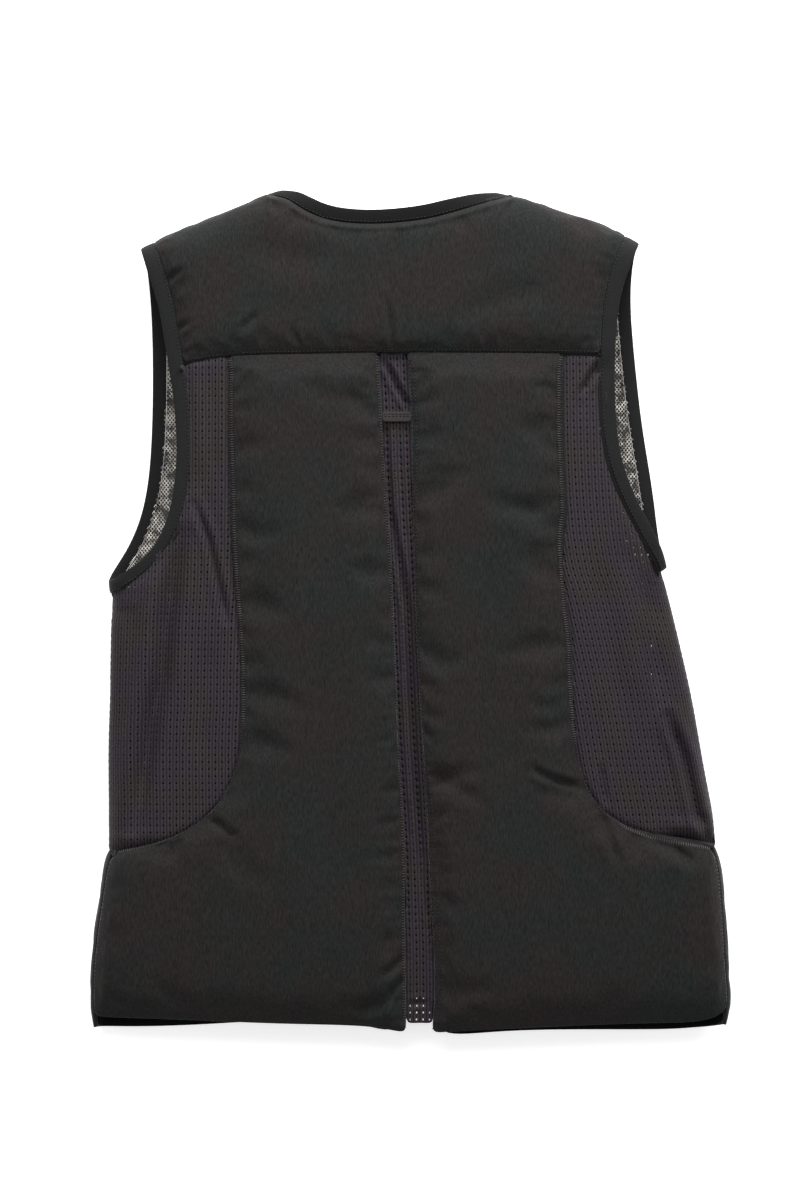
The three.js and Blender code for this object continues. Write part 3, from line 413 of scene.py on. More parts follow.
net_yarn = node(
    net,
    "ShaderNodeMapRange",
    {"From Min": YARN, "From Max": 2 * YARN, "To Min": 1.0, "To Max": 0.0},
    {"Value": net_least.outputs["Value"]},
)
net_colour = node(
    net,
    "ShaderNodeMix",
    {"data_type": "RGBA", 6: linear("#040404"), 7: linear("#2c2a28")},
    {0: net_yarn.outputs["Result"]},
)
finish_fabric(net, net_shader, net_colour.outputs[2], net_yarn.outputs["Result"], YARN_DEPTH)

yarn, yarn_shader = fabric("silver_yarn", Roughness=0.42, Specular_IOR_Level=0.5)
yarn_noise = node(
    yarn,
    "ShaderNodeTexNoise",
    {"Scale": 1 / GLINT, "Detail": 4.0, "Roughness": 0.7},
    {"Vector": node(yarn, "ShaderNodeTexCoord").outputs["Object"]},
)
# Painted highlights and shade: the yarn's colour runs from dark grey to near white in random patches.
yarn_painted_glint = node(
    yarn, "ShaderNodeMapRange", {"From Min": 0.42, "From Max": 0.6}, {"Value": yarn_noise.outputs["Fac"]}
)
yarn_colour = node(
    yarn,
    "ShaderNodeMix",
    {"data_type": "RGBA", 6: linear("#35332f"), 7: linear("#cbc6bc")},
    {0: yarn_painted_glint.outputs["Result"]},
)
yarn.node_tree.links.new(yarn_colour.outputs[2], yarn_shader.inputs["Base Color"])
print("net diamonds in mm:", [round(d / MM, 1) for d in DIAMOND])

# %% [markdown]
# ## Zip
# The front closes with a coil zip, which the vest lies on: nylon teeth on a woven tape, both black.

# %% Zip nylon
NYLON_GRAIN = 1.0 * MM
NYLON_DEPTH = 0.1 * MM
nylon, nylon_shader = fabric("moulded_nylon", Roughness=0.38, Specular_IOR_Level=0.5)
nylon_grain = node(
    nylon,
    "ShaderNodeTexNoise",
    {"Scale": 1 / NYLON_GRAIN, "Detail": 2.0},
    {"Vector": node(nylon, "ShaderNodeTexCoord").outputs["Object"]},
)
nylon_colour = node(
    nylon,
    "ShaderNodeMix",
    {"data_type": "RGBA", 6: linear("#141414"), 7: linear("#232323")},
    {0: nylon_grain.outputs["Fac"]},
)
finish_fabric(nylon, nylon_shader, nylon_colour.outputs[2], nylon_grain.outputs["Fac"], NYLON_DEPTH)
print("materials:", ", ".join(sorted(m.name for m in bpy.data.materials)))

# %% [markdown]
# ## From the frame's walls to smooth cloth
# A CAD node's mesh is loose triangles. A copy with its doubles merged and its triangles joined in pairs
# is a tidy net of squares, which a Subdivision Surface rounds like cloth. Creased rims keep neighbours
# as close as they are sewn.

# %% Smooth copies of the walls
PAD_NODES = ("yoke", "back_pad_left", "back_pad_right", "front_panel_left", "front_panel_right")
EDGE_THICKNESS = {
    "yoke": 3.0 * MM,
    "back_pad": 3.0 * MM,
    "front_panel": 3.0 * MM,
    "side_knit": 1.6 * MM,
    "centre_strip": 1.6 * MM,
    "front_lining": 1.2 * MM,
    "hem_facing": 1.2 * MM,
    "hang_tab": 1.5 * MM,
}
POST_SLACK = 0.06 * MM
SAME_POINT = 0.02 * MM
BAND_RIM = 4.6 * MM
BAND_TURN = math.radians(82)
LEAST_BEND = math.radians(25)


def merged(name):
    """A CAD node's mesh as a bmesh of squares."""
    bm = bmesh.new()
    bm.from_mesh(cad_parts[name].data)
    bmesh.ops.remove_doubles(bm, verts=bm.verts, dist=SAME_POINT)
    bmesh.ops.join_triangles(
        bm, faces=bm.faces, angle_face_threshold=math.radians(60), angle_shape_threshold=math.pi
    )
    return bm


def rim_faces(bm, name):
    """The narrow faces round a wall, which join its outer face to its inner one."""
    thickness = EDGE_THICKNESS.get(name.removesuffix("_left").removesuffix("_right"))
    found = set()
    for f in bm.faces:
        edges = [corner.edge for corner in f.loops]
        posts = [e for e in edges if thickness and abs(e.calc_length() - thickness) < POST_SLACK]
        if len(posts) >= len(edges) - 2:
            found.add(f)
        if thickness or len(edges) != 4:
            continue
        for a, b in zip(edges[:2], edges[2:]):
            middles = [(e.verts[0].co + e.verts[1].co) / 2 for e in (a, b)]
            bends = [e.calc_face_angle(0) for e in (a, b)]
            narrow = (middles[0] - middles[1]).length < BAND_RIM
            if narrow and min(bends) > LEAST_BEND and sum(bends) > BAND_TURN:
                found.add(f)
    return found


def rims(bm, name):
    """The edges where a wall's broad face turns into its thickness."""
    narrow = rim_faces(bm, name)
    return [e for e in bm.edges if sum(f in narrow for f in e.link_faces) == 1]


def made(name, bm, material, slot):
    """Turns a bmesh into a piece that rides on the vest."""
    mesh = bpy.data.meshes.new(name)
    bm.to_mesh(mesh)
    bm.free()
    mesh.shade_smooth()
    mesh.materials.append(material)
    piece = bpy.data.objects.new(name, mesh)
    scene.collection.objects.link(piece)
    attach(piece, "root")
    return piece


def rounded(piece, levels):
    """Adds a Subdivision Surface whose levels are the same on screen and in the render."""
    round_off = piece.modifiers.new("round", "SUBSURF")
    round_off.levels = levels
    round_off.render_levels = levels
    return piece


def settle(piece):
    """Gives a piece the mesh that its modifiers make, and takes them off."""
    graph = bpy.context.evaluated_depsgraph_get()
    shape = bpy.data.meshes.new_from_object(
        piece.evaluated_get(graph), preserve_all_data_layers=True, depsgraph=graph
    )
    piece.modifiers.clear()
    piece.data = shape
    return piece


def smooth_wall(name, piece_name, material, slot, crease, levels):
    """A rounded copy of a CAD wall, with a vertex group that holds its seams."""
    bm = merged(name)
    tight = bm.edges.layers.float.new("crease_edge")
    edges = rims(bm, name)
    for e in edges:
        e[tight] = crease
    held = sorted({v.index for e in edges for v in e.verts})
    piece = made(piece_name, bm, material, slot)
    piece.vertex_groups.new(name="seam").add(held, 1.0, "REPLACE")
    rounded(piece, levels)
    settle(piece)
    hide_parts(name)
    return piece


def tree(piece):
    """A search tree over a piece's faces as they stand."""
    return BVHTree.FromObject(piece, bpy.context.evaluated_depsgraph_get())


for name in PAD_NODES:
    wall = merged(name)
    print(name, "has", len(wall.faces), "squares and", len(rims(wall, name)), "edges of rim")
    wall.free()

# %% [markdown]
# ## Padded panels
# The yoke, the two back pads and the two front panels hold foam and an air cell. On the real vest each
# is sewn along its edges and stands full between them. A cloth simulation does the same: pressure inside,
# seams held, and a little more cloth than the shape needs, which gathers in soft waves along the seams.

# %% Padded panels
pads = {
    name: smooth_wall(name, f"{name}_cover", softshell, "pad_cloth", crease=0.75, levels=2)
    for name in PAD_NODES
}
for name, piece in pads.items():
    print(name, "has", len(piece.data.polygons), "faces before it swells")

# %% [markdown]
# The air cell presses on the cloth from inside. How far the cloth may move is capped, so that the pads
# stay within the space that their neighbours leave, and the yoke least of all, as its top is an outline.
# What would bulge below the table is flattened on it, as the weight of the vest does.

# %% Air in the pads
PRESSURE = 4.0
SPARE_CLOTH = 0.02
STEPS = 20
MOST_MOVED = {"yoke_cover": 0.9 * MM}
USUAL_MOST = 2.6 * MM
ON_TABLE = 0.1 * MM
SEAM_GRIP = 1.15


def places(mesh):
    """A mesh's points as rows of numbers."""
    values = np.empty(len(mesh.vertices) * 3, dtype=np.float32)
    mesh.vertices.foreach_get("co", values)
    return values.reshape(-1, 3)


def put_places(mesh, points):
    """Moves a mesh's points."""
    mesh.vertices.foreach_set("co", np.asarray(points, dtype=np.float32).ravel())
    mesh.update()


def held_share(piece):
    """How firmly the seams hold each point, from 0 to 1."""
    share = np.zeros(len(piece.data.vertices))
    for v in piece.data.vertices:
        for g in v.groups:
            share[v.index] = min(SEAM_GRIP * g.weight, 1)
    return share


def fill_with_air(pieces):
    """Runs one cloth simulation over all the pads together and keeps where it ends."""
    for piece in pieces:
        cloth = piece.modifiers.new("air", "CLOTH")
        cloth.settings.quality = 5
        cloth.settings.mass = 0.3
        cloth.settings.tension_stiffness = 20
        cloth.settings.bending_stiffness = 2.0
        cloth.settings.use_pressure = True
        cloth.settings.uniform_pressure_force = PRESSURE
        cloth.settings.effector_weights.gravity = 0
        cloth.settings.vertex_group_mass = "seam"
        cloth.settings.shrink_min = -SPARE_CLOTH
        cloth.collision_settings.use_collision = False
    for step in range(1, STEPS + 1):
        scene.frame_set(step)
    for piece in pieces:
        before = places(piece.data)
        loose = 1 - held_share(piece)
        settle(piece)
        moved = (places(piece.data) - before) * loose[:, None] ** 2
        far = np.linalg.norm(moved, axis=1, keepdims=True)
        most = MOST_MOVED.get(piece.name, USUAL_MOST)
        moved *= most / np.maximum(far, most)
        after = before + moved
        after[:, 2] = np.maximum(after[:, 2], ON_TABLE)
        put_places(piece.data, after)
        print(piece.name, "moved up to", round(float(far.max()) / MM, 1), "mm before the cap")


fill_with_air(list(pads.values()))

# %% [markdown]
# ## Seams
# A seam's course is the edge of a frame wall's outer face, on the stretch where the wall meets its
# neighbour, so no seam has to be drawn by hand. Small gathers start from it, and stitches follow it.

# %% Courses of the seams
NEXT_TO = 3.5 * MM
BACK_LAYER = 27 * MM
FOLD_MIDDLE = 21.9 * MM
FOLD_HALF_HEIGHT = 16.9 * MM


def outer_rim(name):
    """The edges of a wall's outer face: loops of (point, way in, way out of the cloth)."""
    bm = merged(name)
    narrow = rim_faces(bm, name)
    broad = [f for f in bm.faces if f not in narrow]
    seed = max(broad, key=lambda f: f.calc_center_median().z)
    face, waiting = {seed}, [seed]
    while waiting:
        for e in waiting.pop().edges:
            new = [f for f in e.link_faces if f not in face and f not in narrow]
            waiting += new
            face.update(new)
    # A dict keeps the edges in the mesh's order, so that a course starts at the same end in each run.
    border = dict.fromkeys(
        e for e in bm.edges if 0 < sum(f in face for f in e.link_faces) < len(e.link_faces)
    )
    loops = []
    while border:
        edge = border.popitem()[0]
        chain = [edge.verts[0], edge.verts[1]]
        while True:
            following = [e for e in chain[-1].link_edges if e in border]
            if not following:
                break
            del border[following[0]]
            chain.append(following[0].other_vert(chain[-1]))
        rows = []
        for v in chain[:-1] if chain[0] == chain[-1] else chain:
            own = [f for f in v.link_faces if f in face]
            out = sum((f.normal for f in own), Vector()).normalized()
            rise = max(v.co.z - FOLD_MIDDLE, 0) / FOLD_HALF_HEIGHT
            out = (out + Vector((0, 0, rise))).normalized()
            inwards = sum((f.calc_center_median() - v.co for f in own), Vector())
            rows.append((v.co.copy(), (inwards - out * inwards.dot(out)).normalized(), out))
        loops.append(rows)
    bm.free()
    return loops


def stretch(name, neighbour, upper=True):
    """The longest run of a wall's edge that lies beside its neighbour."""
    bm = merged(neighbour)
    other = BVHTree.FromBMesh(bm)
    bm.free()
    best = []
    for loop in outer_rim(name):
        near = [
            other.find_nearest(p, NEXT_TO)[0] is not None and (p.z > BACK_LAYER or not upper)
            for p, _, _ in loop
        ]
        if all(near):
            return loop + loop[:1]
        turn = near.index(False)
        run = []
        for k in range(turn, turn + len(loop) + 1):
            if near[k % len(loop)] and k < turn + len(loop):
                run.append(loop[k % len(loop)])
            else:
                best = max(best, run, key=len)
                run = []
    return best


def stations(course, pitch, inset):
    """Evenly spaced places beside a seam, with the seam's direction and the way out."""
    points = np.array([p + way * inset for p, way, _ in course])
    outs = np.array([out for _, _, out in course])
    steps = np.linalg.norm(np.diff(points, axis=0), axis=1)
    far = np.concatenate([[0], np.cumsum(steps)])
    at = np.arange(pitch / 2, far[-1], pitch)

    def sample(values, where):
        return np.stack([np.interp(where, far, values[:, k]) for k in range(3)], axis=1)

    here, ahead, out = sample(points, at), sample(points, at + pitch / 4), sample(outs, at)
    back = sample(points, at - pitch / 4)
    rows = zip(here, back, ahead, out)
    return [(Vector(p), Vector(b - a).normalized(), Vector(o).normalized()) for p, a, b, o in rows]


for name, neighbour in (("yoke", "back_pad_left"), ("back_pad_left", "side_knit_left")):
    print(name, "beside", neighbour, "has", len(stretch(name, neighbour)), "points of seam")

# %% [markdown]
# ## Folds
# Cloth that has been worn and laid down keeps soft grooves and a few sharp ones. Each fold here is a line
# between places in the picture, with a depth and a width. A groove is pressed in along it, and beside a
# sharp fold the cloth stands up a little, as the far side of a pinch does. The numbers are the fold's
# depth and width in millimetres. Seams add small gathers, and at the neck the pad's edge is a soft roll.

# %% Fold lines
PAD_FOLDS = {
    "yoke": [
        ([(386, 221), (394, 230), (388, 262), (387, 300)], 1.0, 4),
        ([(387, 298), (389, 320), (393, 350)], 2.6, 2.2),
        ([(167, 284), (184, 272)], 2.4, 2.4),
        ([(175, 333), (189, 325)], 2.2, 2.4),
        ([(242, 333), (259, 316)], 1.8, 3),
        ([(609, 318), (614, 342)], 2.2, 2.4),
        ([(462, 318), (500, 300), (545, 292)], 1.4, 9),
        ([(250, 250), (300, 262), (345, 258)], 1.4, 11),
    ],
    "back_pad_left": [
        ([(404, 954), (394, 964), (382, 974)], 2.8, 2.6),
        ([(405, 975), (397, 984), (387, 996)], 2.8, 2.6),
        ([(400, 994), (378, 1003), (350, 1005)], 2.0, 5),
        ([(212, 818), (222, 824), (235, 836)], 2.6, 3),
        ([(181, 835), (177, 844), (172, 856)], 2.2, 3),
        ([(222, 832), (242, 862), (262, 884)], 1.4, 8),
        ([(250, 480), (262, 600), (258, 720)], 1.8, 16),
        ([(330, 640), (322, 800), (336, 900)], 1.6, 14),
        ([(300, 380), (330, 400), (372, 402)], 1.2, 8),
        ([(382, 440), (390, 560), (398, 700)], 1.6, 7),
    ],
    "back_pad_right": [
        ([(529, 766), (552, 778), (578, 786)], 2.8, 2.8),
        ([(486, 500), (520, 508), (558, 532)], 1.8, 7),
        ([(436, 776), (452, 784), (480, 800)], 1.6, 5),
        ([(598, 808), (606, 834), (617, 862)], 2.8, 3.4),
        ([(646, 835), (668, 846), (692, 860)], 2.6, 4),
        ([(566, 700), (548, 706), (530, 702)], 1.6, 5),
        ([(500, 560), (506, 680), (496, 800)], 1.6, 18),
        ([(437, 985), (460, 990), (490, 986)], 1.4, 6),
        ([(446, 1031), (452, 1022)], 1.6, 3),
        ([(458, 1031), (464, 1021)], 1.6, 3),
    ],
    "front_panel_left": [],
    "front_panel_right": [],
}


RIDGE_SHARE = 0.35
RIDGE_AWAY = 2.2


def fold_line(pixels):
    """A fold's line in plan, as closely spaced points."""
    corners = [plan(*p) for p in pixels]
    line = []
    for a, b in zip(corners, corners[1:]):
        steps = max(2, int((b - a).length / MM))
        line += [a.lerp(b, k / steps) for k in range(steps)]
    return np.array([p[:2] for p in line + corners[-1:]])


def pressed(points, folds):
    """How far each point sinks into the folds, in metres; the ends of a fold fade out."""
    sunk = np.zeros(len(points))
    for pixels, depth, width in folds:
        line = fold_line(pixels)
        low, high = line.min(axis=0) - 4 * width * MM, line.max(axis=0) + 4 * width * MM
        near = np.flatnonzero(np.all((points[:, :2] > low) & (points[:, :2] < high), axis=1))
        apart = points[near, None, :2] - line[None]
        away = np.linalg.norm(apart, axis=2)
        nearest = away.argmin(axis=1)
        distance = away[np.arange(len(near)), nearest] / (width * MM)
        along = nearest / (len(line) - 1)
        fade = np.clip(4 * np.minimum(along, 1 - along) + 0.25, 0, 1)
        ridge = RIDGE_SHARE * np.exp(-((distance - RIDGE_AWAY) ** 2))
        sunk[near] += depth * MM * fade * (np.exp(-(distance**2)) - ridge)
    return sunk


def fold_pad(piece, folds):
    """Presses folds into the upper layer of a piece."""
    points = places(piece.data).astype(float)
    upper = points[:, 2] > BACK_LAYER
    points[:, 2] -= np.where(upper, pressed(points, folds), 0)
    put_places(piece.data, points)


WAVES = (8 * MM, 13 * MM, 21 * MM)
GATHERED = [
    ("yoke", "back_pad_left", 0.5 * MM),
    ("yoke", "back_pad_right", 0.5 * MM),
    ("yoke", "armhole_binding_left", 0.7 * MM),
    ("yoke", "armhole_binding_right", 0.7 * MM),
    ("back_pad_left", "centre_strip", 0.9 * MM),
    ("back_pad_right", "centre_strip", 0.7 * MM),
    ("back_pad_left", "side_knit_left", 0.6 * MM),
    ("back_pad_right", "side_knit_right", 0.6 * MM),
]
GATHER_REACH = 11 * MM
GATHER_START = 1.5 * MM
GROOVE_DEPTH = 1.5 * MM
ROLL_HEIGHT = 1.8 * MM
ROLL_IN = 3.5 * MM
ROLL_WIDTH = 2.6 * MM


def beside(points, course, reach):
    """The points of the upper layer near a seam, their distances, and each one's mark along it."""
    line = np.array([p[:2] for p, _, _ in course])
    far = np.concatenate([[0], np.cumsum(np.linalg.norm(np.diff(line, axis=0), axis=1))])
    marks = np.arange(0, far[-1], MM)
    line = np.stack([np.interp(marks, far, line[:, k]) for k in range(2)], axis=1)
    low, high = line.min(axis=0) - reach, line.max(axis=0) + reach
    inside = np.all((points[:, :2] > low) & (points[:, :2] < high), axis=1)
    near = np.flatnonzero(inside & (points[:, 2] > BACK_LAYER))
    apart = np.linalg.norm(points[near, None, :2] - line[None], axis=2)
    nearest = apart.argmin(axis=1)
    return near, apart[np.arange(len(near)), nearest], nearest, marks


def groove(piece, course, width):
    """Sinks cloth along a seam, where the thread pulls it tight."""
    points = places(piece.data).astype(float)
    near, distance, _, _ = beside(points, course, 4 * width)
    points[near, 2] -= GROOVE_DEPTH * np.exp(-((distance / width) ** 2))
    put_places(piece.data, points)


def roll_edge(piece, course):
    """Raises a padded edge beside its binding into a soft roll, which catches the light."""
    points = places(piece.data).astype(float)
    near, distance, _, _ = beside(points, course, 4 * ROLL_WIDTH)
    points[near, 2] += ROLL_HEIGHT * np.exp(-(((distance - ROLL_IN) / ROLL_WIDTH) ** 2))
    put_places(piece.data, points)


def gather(piece, course, depth, draw):
    """Small waves that start at a seam and die out away from it."""
    points = places(piece.data).astype(float)
    near, distance, nearest, marks = beside(points, course, 4 * GATHER_REACH)
    wave = sum(np.sin(math.tau * (marks / length + draw.random())) for length in WAVES) / len(WAVES)
    start = 1 - np.exp(-distance / GATHER_START)
    points[near, 2] += depth * wave[nearest] * start * np.exp(-distance / GATHER_REACH)
    put_places(piece.data, points)


draw = random.Random(7)
for name, piece in pads.items():
    settle(rounded(piece, 1))
    for wall, neighbour, depth in GATHERED:
        if wall == name:
            gather(piece, stretch(wall, neighbour), depth, draw)
    if name == "yoke":
        roll_edge(piece, stretch(name, "neck_binding"))
    fold_pad(piece, PAD_FOLDS[name])
    print(name, "has", len(PAD_FOLDS[name]), "folds and", len(piece.data.polygons), "faces")

# %% [markdown]
# ## Knit round the sides
# Each side is one length of perforated knit that runs from the back pad round the fold to the front. It
# is cut flat here too: a grid of cells, each with an eyelet, is laid on the frame's wall by its distance
# from the fold, so the holes keep their spacing round the bend. The cut lies a whole number of columns
# further to the back, so that a hole seldom meets one of the layer below. Cells past the seam are
# dropped, but for a narrow allowance that goes in under the pad and the binding.

# %% Knit round the sides
EYELET_PITCH = (5.2 * MM, 5.6 * MM)
EYELET = (1.25 * MM, 1.9 * MM)
KNIT_THICKNESS = 0.9 * MM
ALLOWANCE = 2.6 * MM
EASE = 45 * MM
EASE_ROWS = 12
SIDE_CUT = 200 * MM
BACK_COLUMNS = 5
LIFT = 1.2 * MM
FOLD_RADIUS = 18 * MM
FOLD_STEP = 4 * MM
SPARE_LENGTH = 20 * MM
FAR_OUT = 500 * MM


def cut_knit(width, height, keep):
    """A flat length of knit with its eyelets. keep takes a cell's middle and says whether it stays."""
    columns = 2 * round(width / EYELET_PITCH[0] / 2)
    rows = 2 * round(height / EYELET_PITCH[1] / 2)
    bm = bmesh.new()
    bmesh.ops.create_grid(bm, x_segments=columns, y_segments=rows, size=0.5)
    land = (EYELET_PITCH[0] - EYELET[0]) / EYELET_PITCH[0] / 2
    tall = 2 * land / (1 - EYELET[1] / EYELET_PITCH[1])
    bmesh.ops.scale(bm, verts=bm.verts, vec=(columns, rows * tall, 1))
    squeeze = (EYELET_PITCH[0], EYELET_PITCH[1] / tall, 1)
    outside = [f for f in bm.faces if not keep(f.calc_center_median() * Vector(squeeze))]
    bmesh.ops.delete(bm, geom=outside, context="FACES")
    holes = list(bm.faces)
    bmesh.ops.inset_individual(bm, faces=holes, thickness=land, use_even_offset=True)
    bmesh.ops.delete(bm, geom=holes, context="FACES")
    bmesh.ops.scale(bm, verts=bm.verts, vec=squeeze)
    flat = bm.loops.layers.uv.new("cut")
    for face in bm.faces:
        for corner in face.loops:
            corner[flat].uv = corner.vert.co.xy
    return bm


def fold_measure(search, side, low, high):
    """How far out a side fold lies at each place along the body; past the armhole it eases off."""
    along = np.arange(low, high, FOLD_STEP)
    out = []
    for y in along:
        hit = search.ray_cast(Vector((side * FAR_OUT, y, FOLD_MIDDLE)), Vector((-side, 0, 0)))[0]
        out.append(abs(hit.x) if hit else np.nan)
    out = np.array(out)
    seen = ~np.isnan(out)
    along, out = along[seen], out[seen]
    slope = (out[-1] - out[-EASE_ROWS]) / (along[-1] - along[-EASE_ROWS])

    def outline(y):
        past = max(y - along[-1], 0) / EASE
        return float(np.interp(y, along, out)) + slope * EASE * (1 - math.exp(-past))

    return outline


def beside_fold(side, outline):
    """Takes a flat place (s across, y along) to the cloth, with the cloth's outward direction."""

    def lay(flat):
        angle = min(abs(flat.x) / FOLD_RADIUS, math.pi / 2)
        beyond = max(abs(flat.x) - FOLD_RADIUS * math.pi / 2, 0)
        layer = 1 if flat.x < 0 else -1
        x = side * (outline(flat.y) - FOLD_RADIUS * (1 - math.cos(angle)) - beyond)
        z = FOLD_MIDDLE + layer * FOLD_HALF_HEIGHT * math.sin(angle)
        return Vector((x, flat.y, z)), Vector((side * math.cos(angle), 0, layer * math.sin(angle)))

    return lay


def onto(search, place, outward):
    """Where a place meets the wall below it, and how far it lies past the wall's edge."""
    start = place + outward * LIFT
    hit = search.find_nearest(start)[0]
    apart = hit - start
    height = apart.dot(outward)
    return start + outward * height, (apart - outward * height).length


def knit_piece(name, piece_name, lay, size, shift, lowest=-1.0):
    """A CAD wall made again in perforated knit, laid on it by lay. shift moves the cut's middle."""
    wall = smooth_wall(name, f"{piece_name}_form", knit, "knit", crease=0.9, levels=2)
    search = tree(wall)

    def keep(cell):
        place, outward = lay(cell + shift)
        return place.y > lowest and onto(search, place, outward)[1] < ALLOWANCE

    bm = cut_knit(*size, keep)
    for v in bm.verts:
        v.co = onto(search, *lay(v.co + shift))[0]
    bpy.data.objects.remove(wall)
    piece = made(piece_name, bm, knit, "knit")
    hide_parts(name)
    return piece


def thicken(piece, thickness):
    """Gives a sheet its thickness on the side away from the eye."""
    solid = piece.modifiers.new("thickness", "SOLIDIFY")
    solid.thickness = thickness
    solid.offset = -1
    return piece


knits = {}
for word, side in SIDES.items():
    low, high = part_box(f"side_knit_{word}")
    form = smooth_wall(f"side_knit_{word}", f"fold_form_{word}", knit, "knit", crease=0.9, levels=2)
    outline = fold_measure(tree(form), side, low[1], high[1])
    bpy.data.objects.remove(form)
    piece = knit_piece(
        f"side_knit_{word}",
        f"knit_side_{word}",
        beside_fold(side, outline),
        (SIDE_CUT, high[1] - low[1] + SPARE_LENGTH),
        Vector((-BACK_COLUMNS * EYELET_PITCH[0], (low[1] + high[1]) / 2, 0)),
    )
    knits[word] = piece
    print(piece.name, "has", len(piece.data.polygons) // 4, "eyelets")

# %% [markdown]
# ## Knit strip down the back
# The strip between the back pads is cut from the same knit. It is narrow, so it lies on the frame's wall
# straight from above, and it follows the slant of the seams beside it.

# %% Knit strip
STRIP_SLICES = 24
SLICE_LAP = 4 * MM
STRIP_HEIGHT = 36 * MM
STRIP_CUT = 32 * MM
STRIP_SPARE = 12 * MM
STRIP_CLEAR = 6 * MM
strip_form = smooth_wall("centre_strip", "strip_form", knit, "knit", crease=0.9, levels=2)
strip_points = places(strip_form.data)
strip_low, strip_high = (Vector(corner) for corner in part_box("centre_strip"))
slices = np.linspace(strip_low.y, strip_high.y, STRIP_SLICES)
strip_half = (slices[1] - slices[0]) / 2
middles = []
for y in slices:
    band = strip_points[np.abs(strip_points[:, 1] - y) < strip_half + SLICE_LAP]
    middles.append((band[:, 0].min() + band[:, 0].max()) / 2)


def down_the_back(flat):
    """Takes a flat place on the strip to plan, along the strip's own middle line."""
    x = float(np.interp(flat.y, slices, middles)) + flat.x
    return Vector((x, flat.y, STRIP_HEIGHT)), Vector((0, 0, 1))


bpy.data.objects.remove(strip_form)
strip = knit_piece(
    "centre_strip",
    "knit_strip",
    down_the_back,
    (STRIP_CUT, strip_high.y - strip_low.y + STRIP_SPARE),
    Vector((0, (strip_low.y + strip_high.y) / 2, 0)),
    lowest=strip_low.y + STRIP_CLEAR,
)
print("strip has", len(strip.data.polygons) // 4, "eyelets")

# %% [markdown]
# The knit is thinner than the pads and folds more sharply, so its cells are halved first. A seam draws
# the knit down beside a pad, and the binding holds it down along the armhole.

# %% Folds in the knit
KNIT_FOLDS = {
    "left": [
        ([(181, 535), (175, 572), (168, 615), (162, 678), (153, 715), (147, 760), (137, 830)], 6.0, 6),
        ([(196, 504), (210, 541), (221, 589), (228, 622)], 3.4, 2.6),
        ([(214, 640), (204, 700), (200, 760)], 1.6, 9),
        ([(136, 600), (131, 670), (124, 740)], 1.8, 7),
        ([(215, 380), (213, 430), (216, 480)], 1.2, 5),
        ([(110, 846), (130, 847), (158, 842)], 2.0, 4),
    ],
    "right": [
        ([(601, 360), (591, 376), (582, 393)], 3.4, 2.4),
        ([(668, 716), (684, 760), (696, 812), (707, 838)], 6.0, 3.6),
        ([(652, 560), (654, 640), (660, 700)], 3.6, 9),
        ([(600, 560), (610, 640), (622, 720)], 1.6, 9),
        ([(601, 766), (602, 784), (604, 802)], 2.0, 2.6),
        ([(665, 836), (692, 840), (722, 844)], 5.0, 5),
    ],
}
STRIP_FOLDS = [
    ([(385, 362), (397, 387), (411, 411)], 4.4, 2.2),
    (
        [(386, 430), (391, 513), (402, 572), (409, 615), (412, 700), (418, 798), (423, 868), (430, 914)],
        5.4,
        2.4,
    ),
    ([(398, 440), (402, 520), (408, 560)], 1.6, 3),
    ([(410, 1003), (418, 1001), (426, 1001)], 2.0, 2),
]
PAD_GROOVE = 2.0 * MM
BINDING_GROOVE = 4.5 * MM
STRIP_GROOVES = {"back_pad_left": PAD_GROOVE, "back_pad_right": PAD_GROOVE}
FOLDED = [("centre_strip", strip, STRIP_FOLDS, STRIP_GROOVES)]
for word, piece in knits.items():
    grooves = {
        f"back_pad_{word}": PAD_GROOVE,
        "yoke": PAD_GROOVE,
        f"armhole_binding_{word}": BINDING_GROOVE,
    }
    FOLDED.append((f"side_knit_{word}", piece, KNIT_FOLDS[word], grooves))
for name, piece, folds, grooves in FOLDED:
    settle(rounded(piece, 1))
    for neighbour, width in grooves.items():
        groove(piece, stretch(name, neighbour), width)
    fold_pad(piece, folds)
    thicken(piece, KNIT_THICKNESS)
    print(piece.name, "has", len(folds), "folds and", len(piece.data.polygons), "faces")

# %% [markdown]
# ## Bindings, tab and facings
# The elastic round the armholes and the neck, the hanging tab and the facings inside the hem are narrow
# bands of doubled cloth. The frame's walls already have their course, so each is a rounded copy with
# softer rims.

# %% Bindings and tab
BAND_NODES = {
    "armhole_binding_left": "binding_armhole_left",
    "armhole_binding_right": "binding_armhole_right",
    "neck_binding": "binding_neck",
    "hang_tab": "tab_for_hanging",
}
bands = {}
BAND_CLOTH = {"neck_binding": collar_elastic_painted_shade, "hang_tab": tab_tape}
for name, piece_name in BAND_NODES.items():
    material = BAND_CLOTH.get(name, elastic)
    bands[name] = smooth_wall(name, piece_name, material, "binding", crease=0.35, levels=3)
# The facings inside the hem are drawn in the near-black softshell, painted shade for the shadow they lie
# in.
for word in SIDES:
    name = f"hem_facing_{word}"
    bands[name] = smooth_wall(name, f"facing_{word}", hem_shade_softshell, "pad_cloth", crease=0.5, levels=2)
print("bands:", ", ".join(sorted(bands)))

# %% [markdown]
# ## Net lining
# The lining is one sheet of net inside each front. Beside the armholes, where it shows, the yarn is real:
# a grid turned to diamonds, each diamond's middle taken out, laid on the sheet.

# %% Net lining
for word in SIDES:
    name = f"front_lining_{word}"
    bands[name] = smooth_wall(name, f"lining_{word}", net, "net", crease=0.6, levels=1)

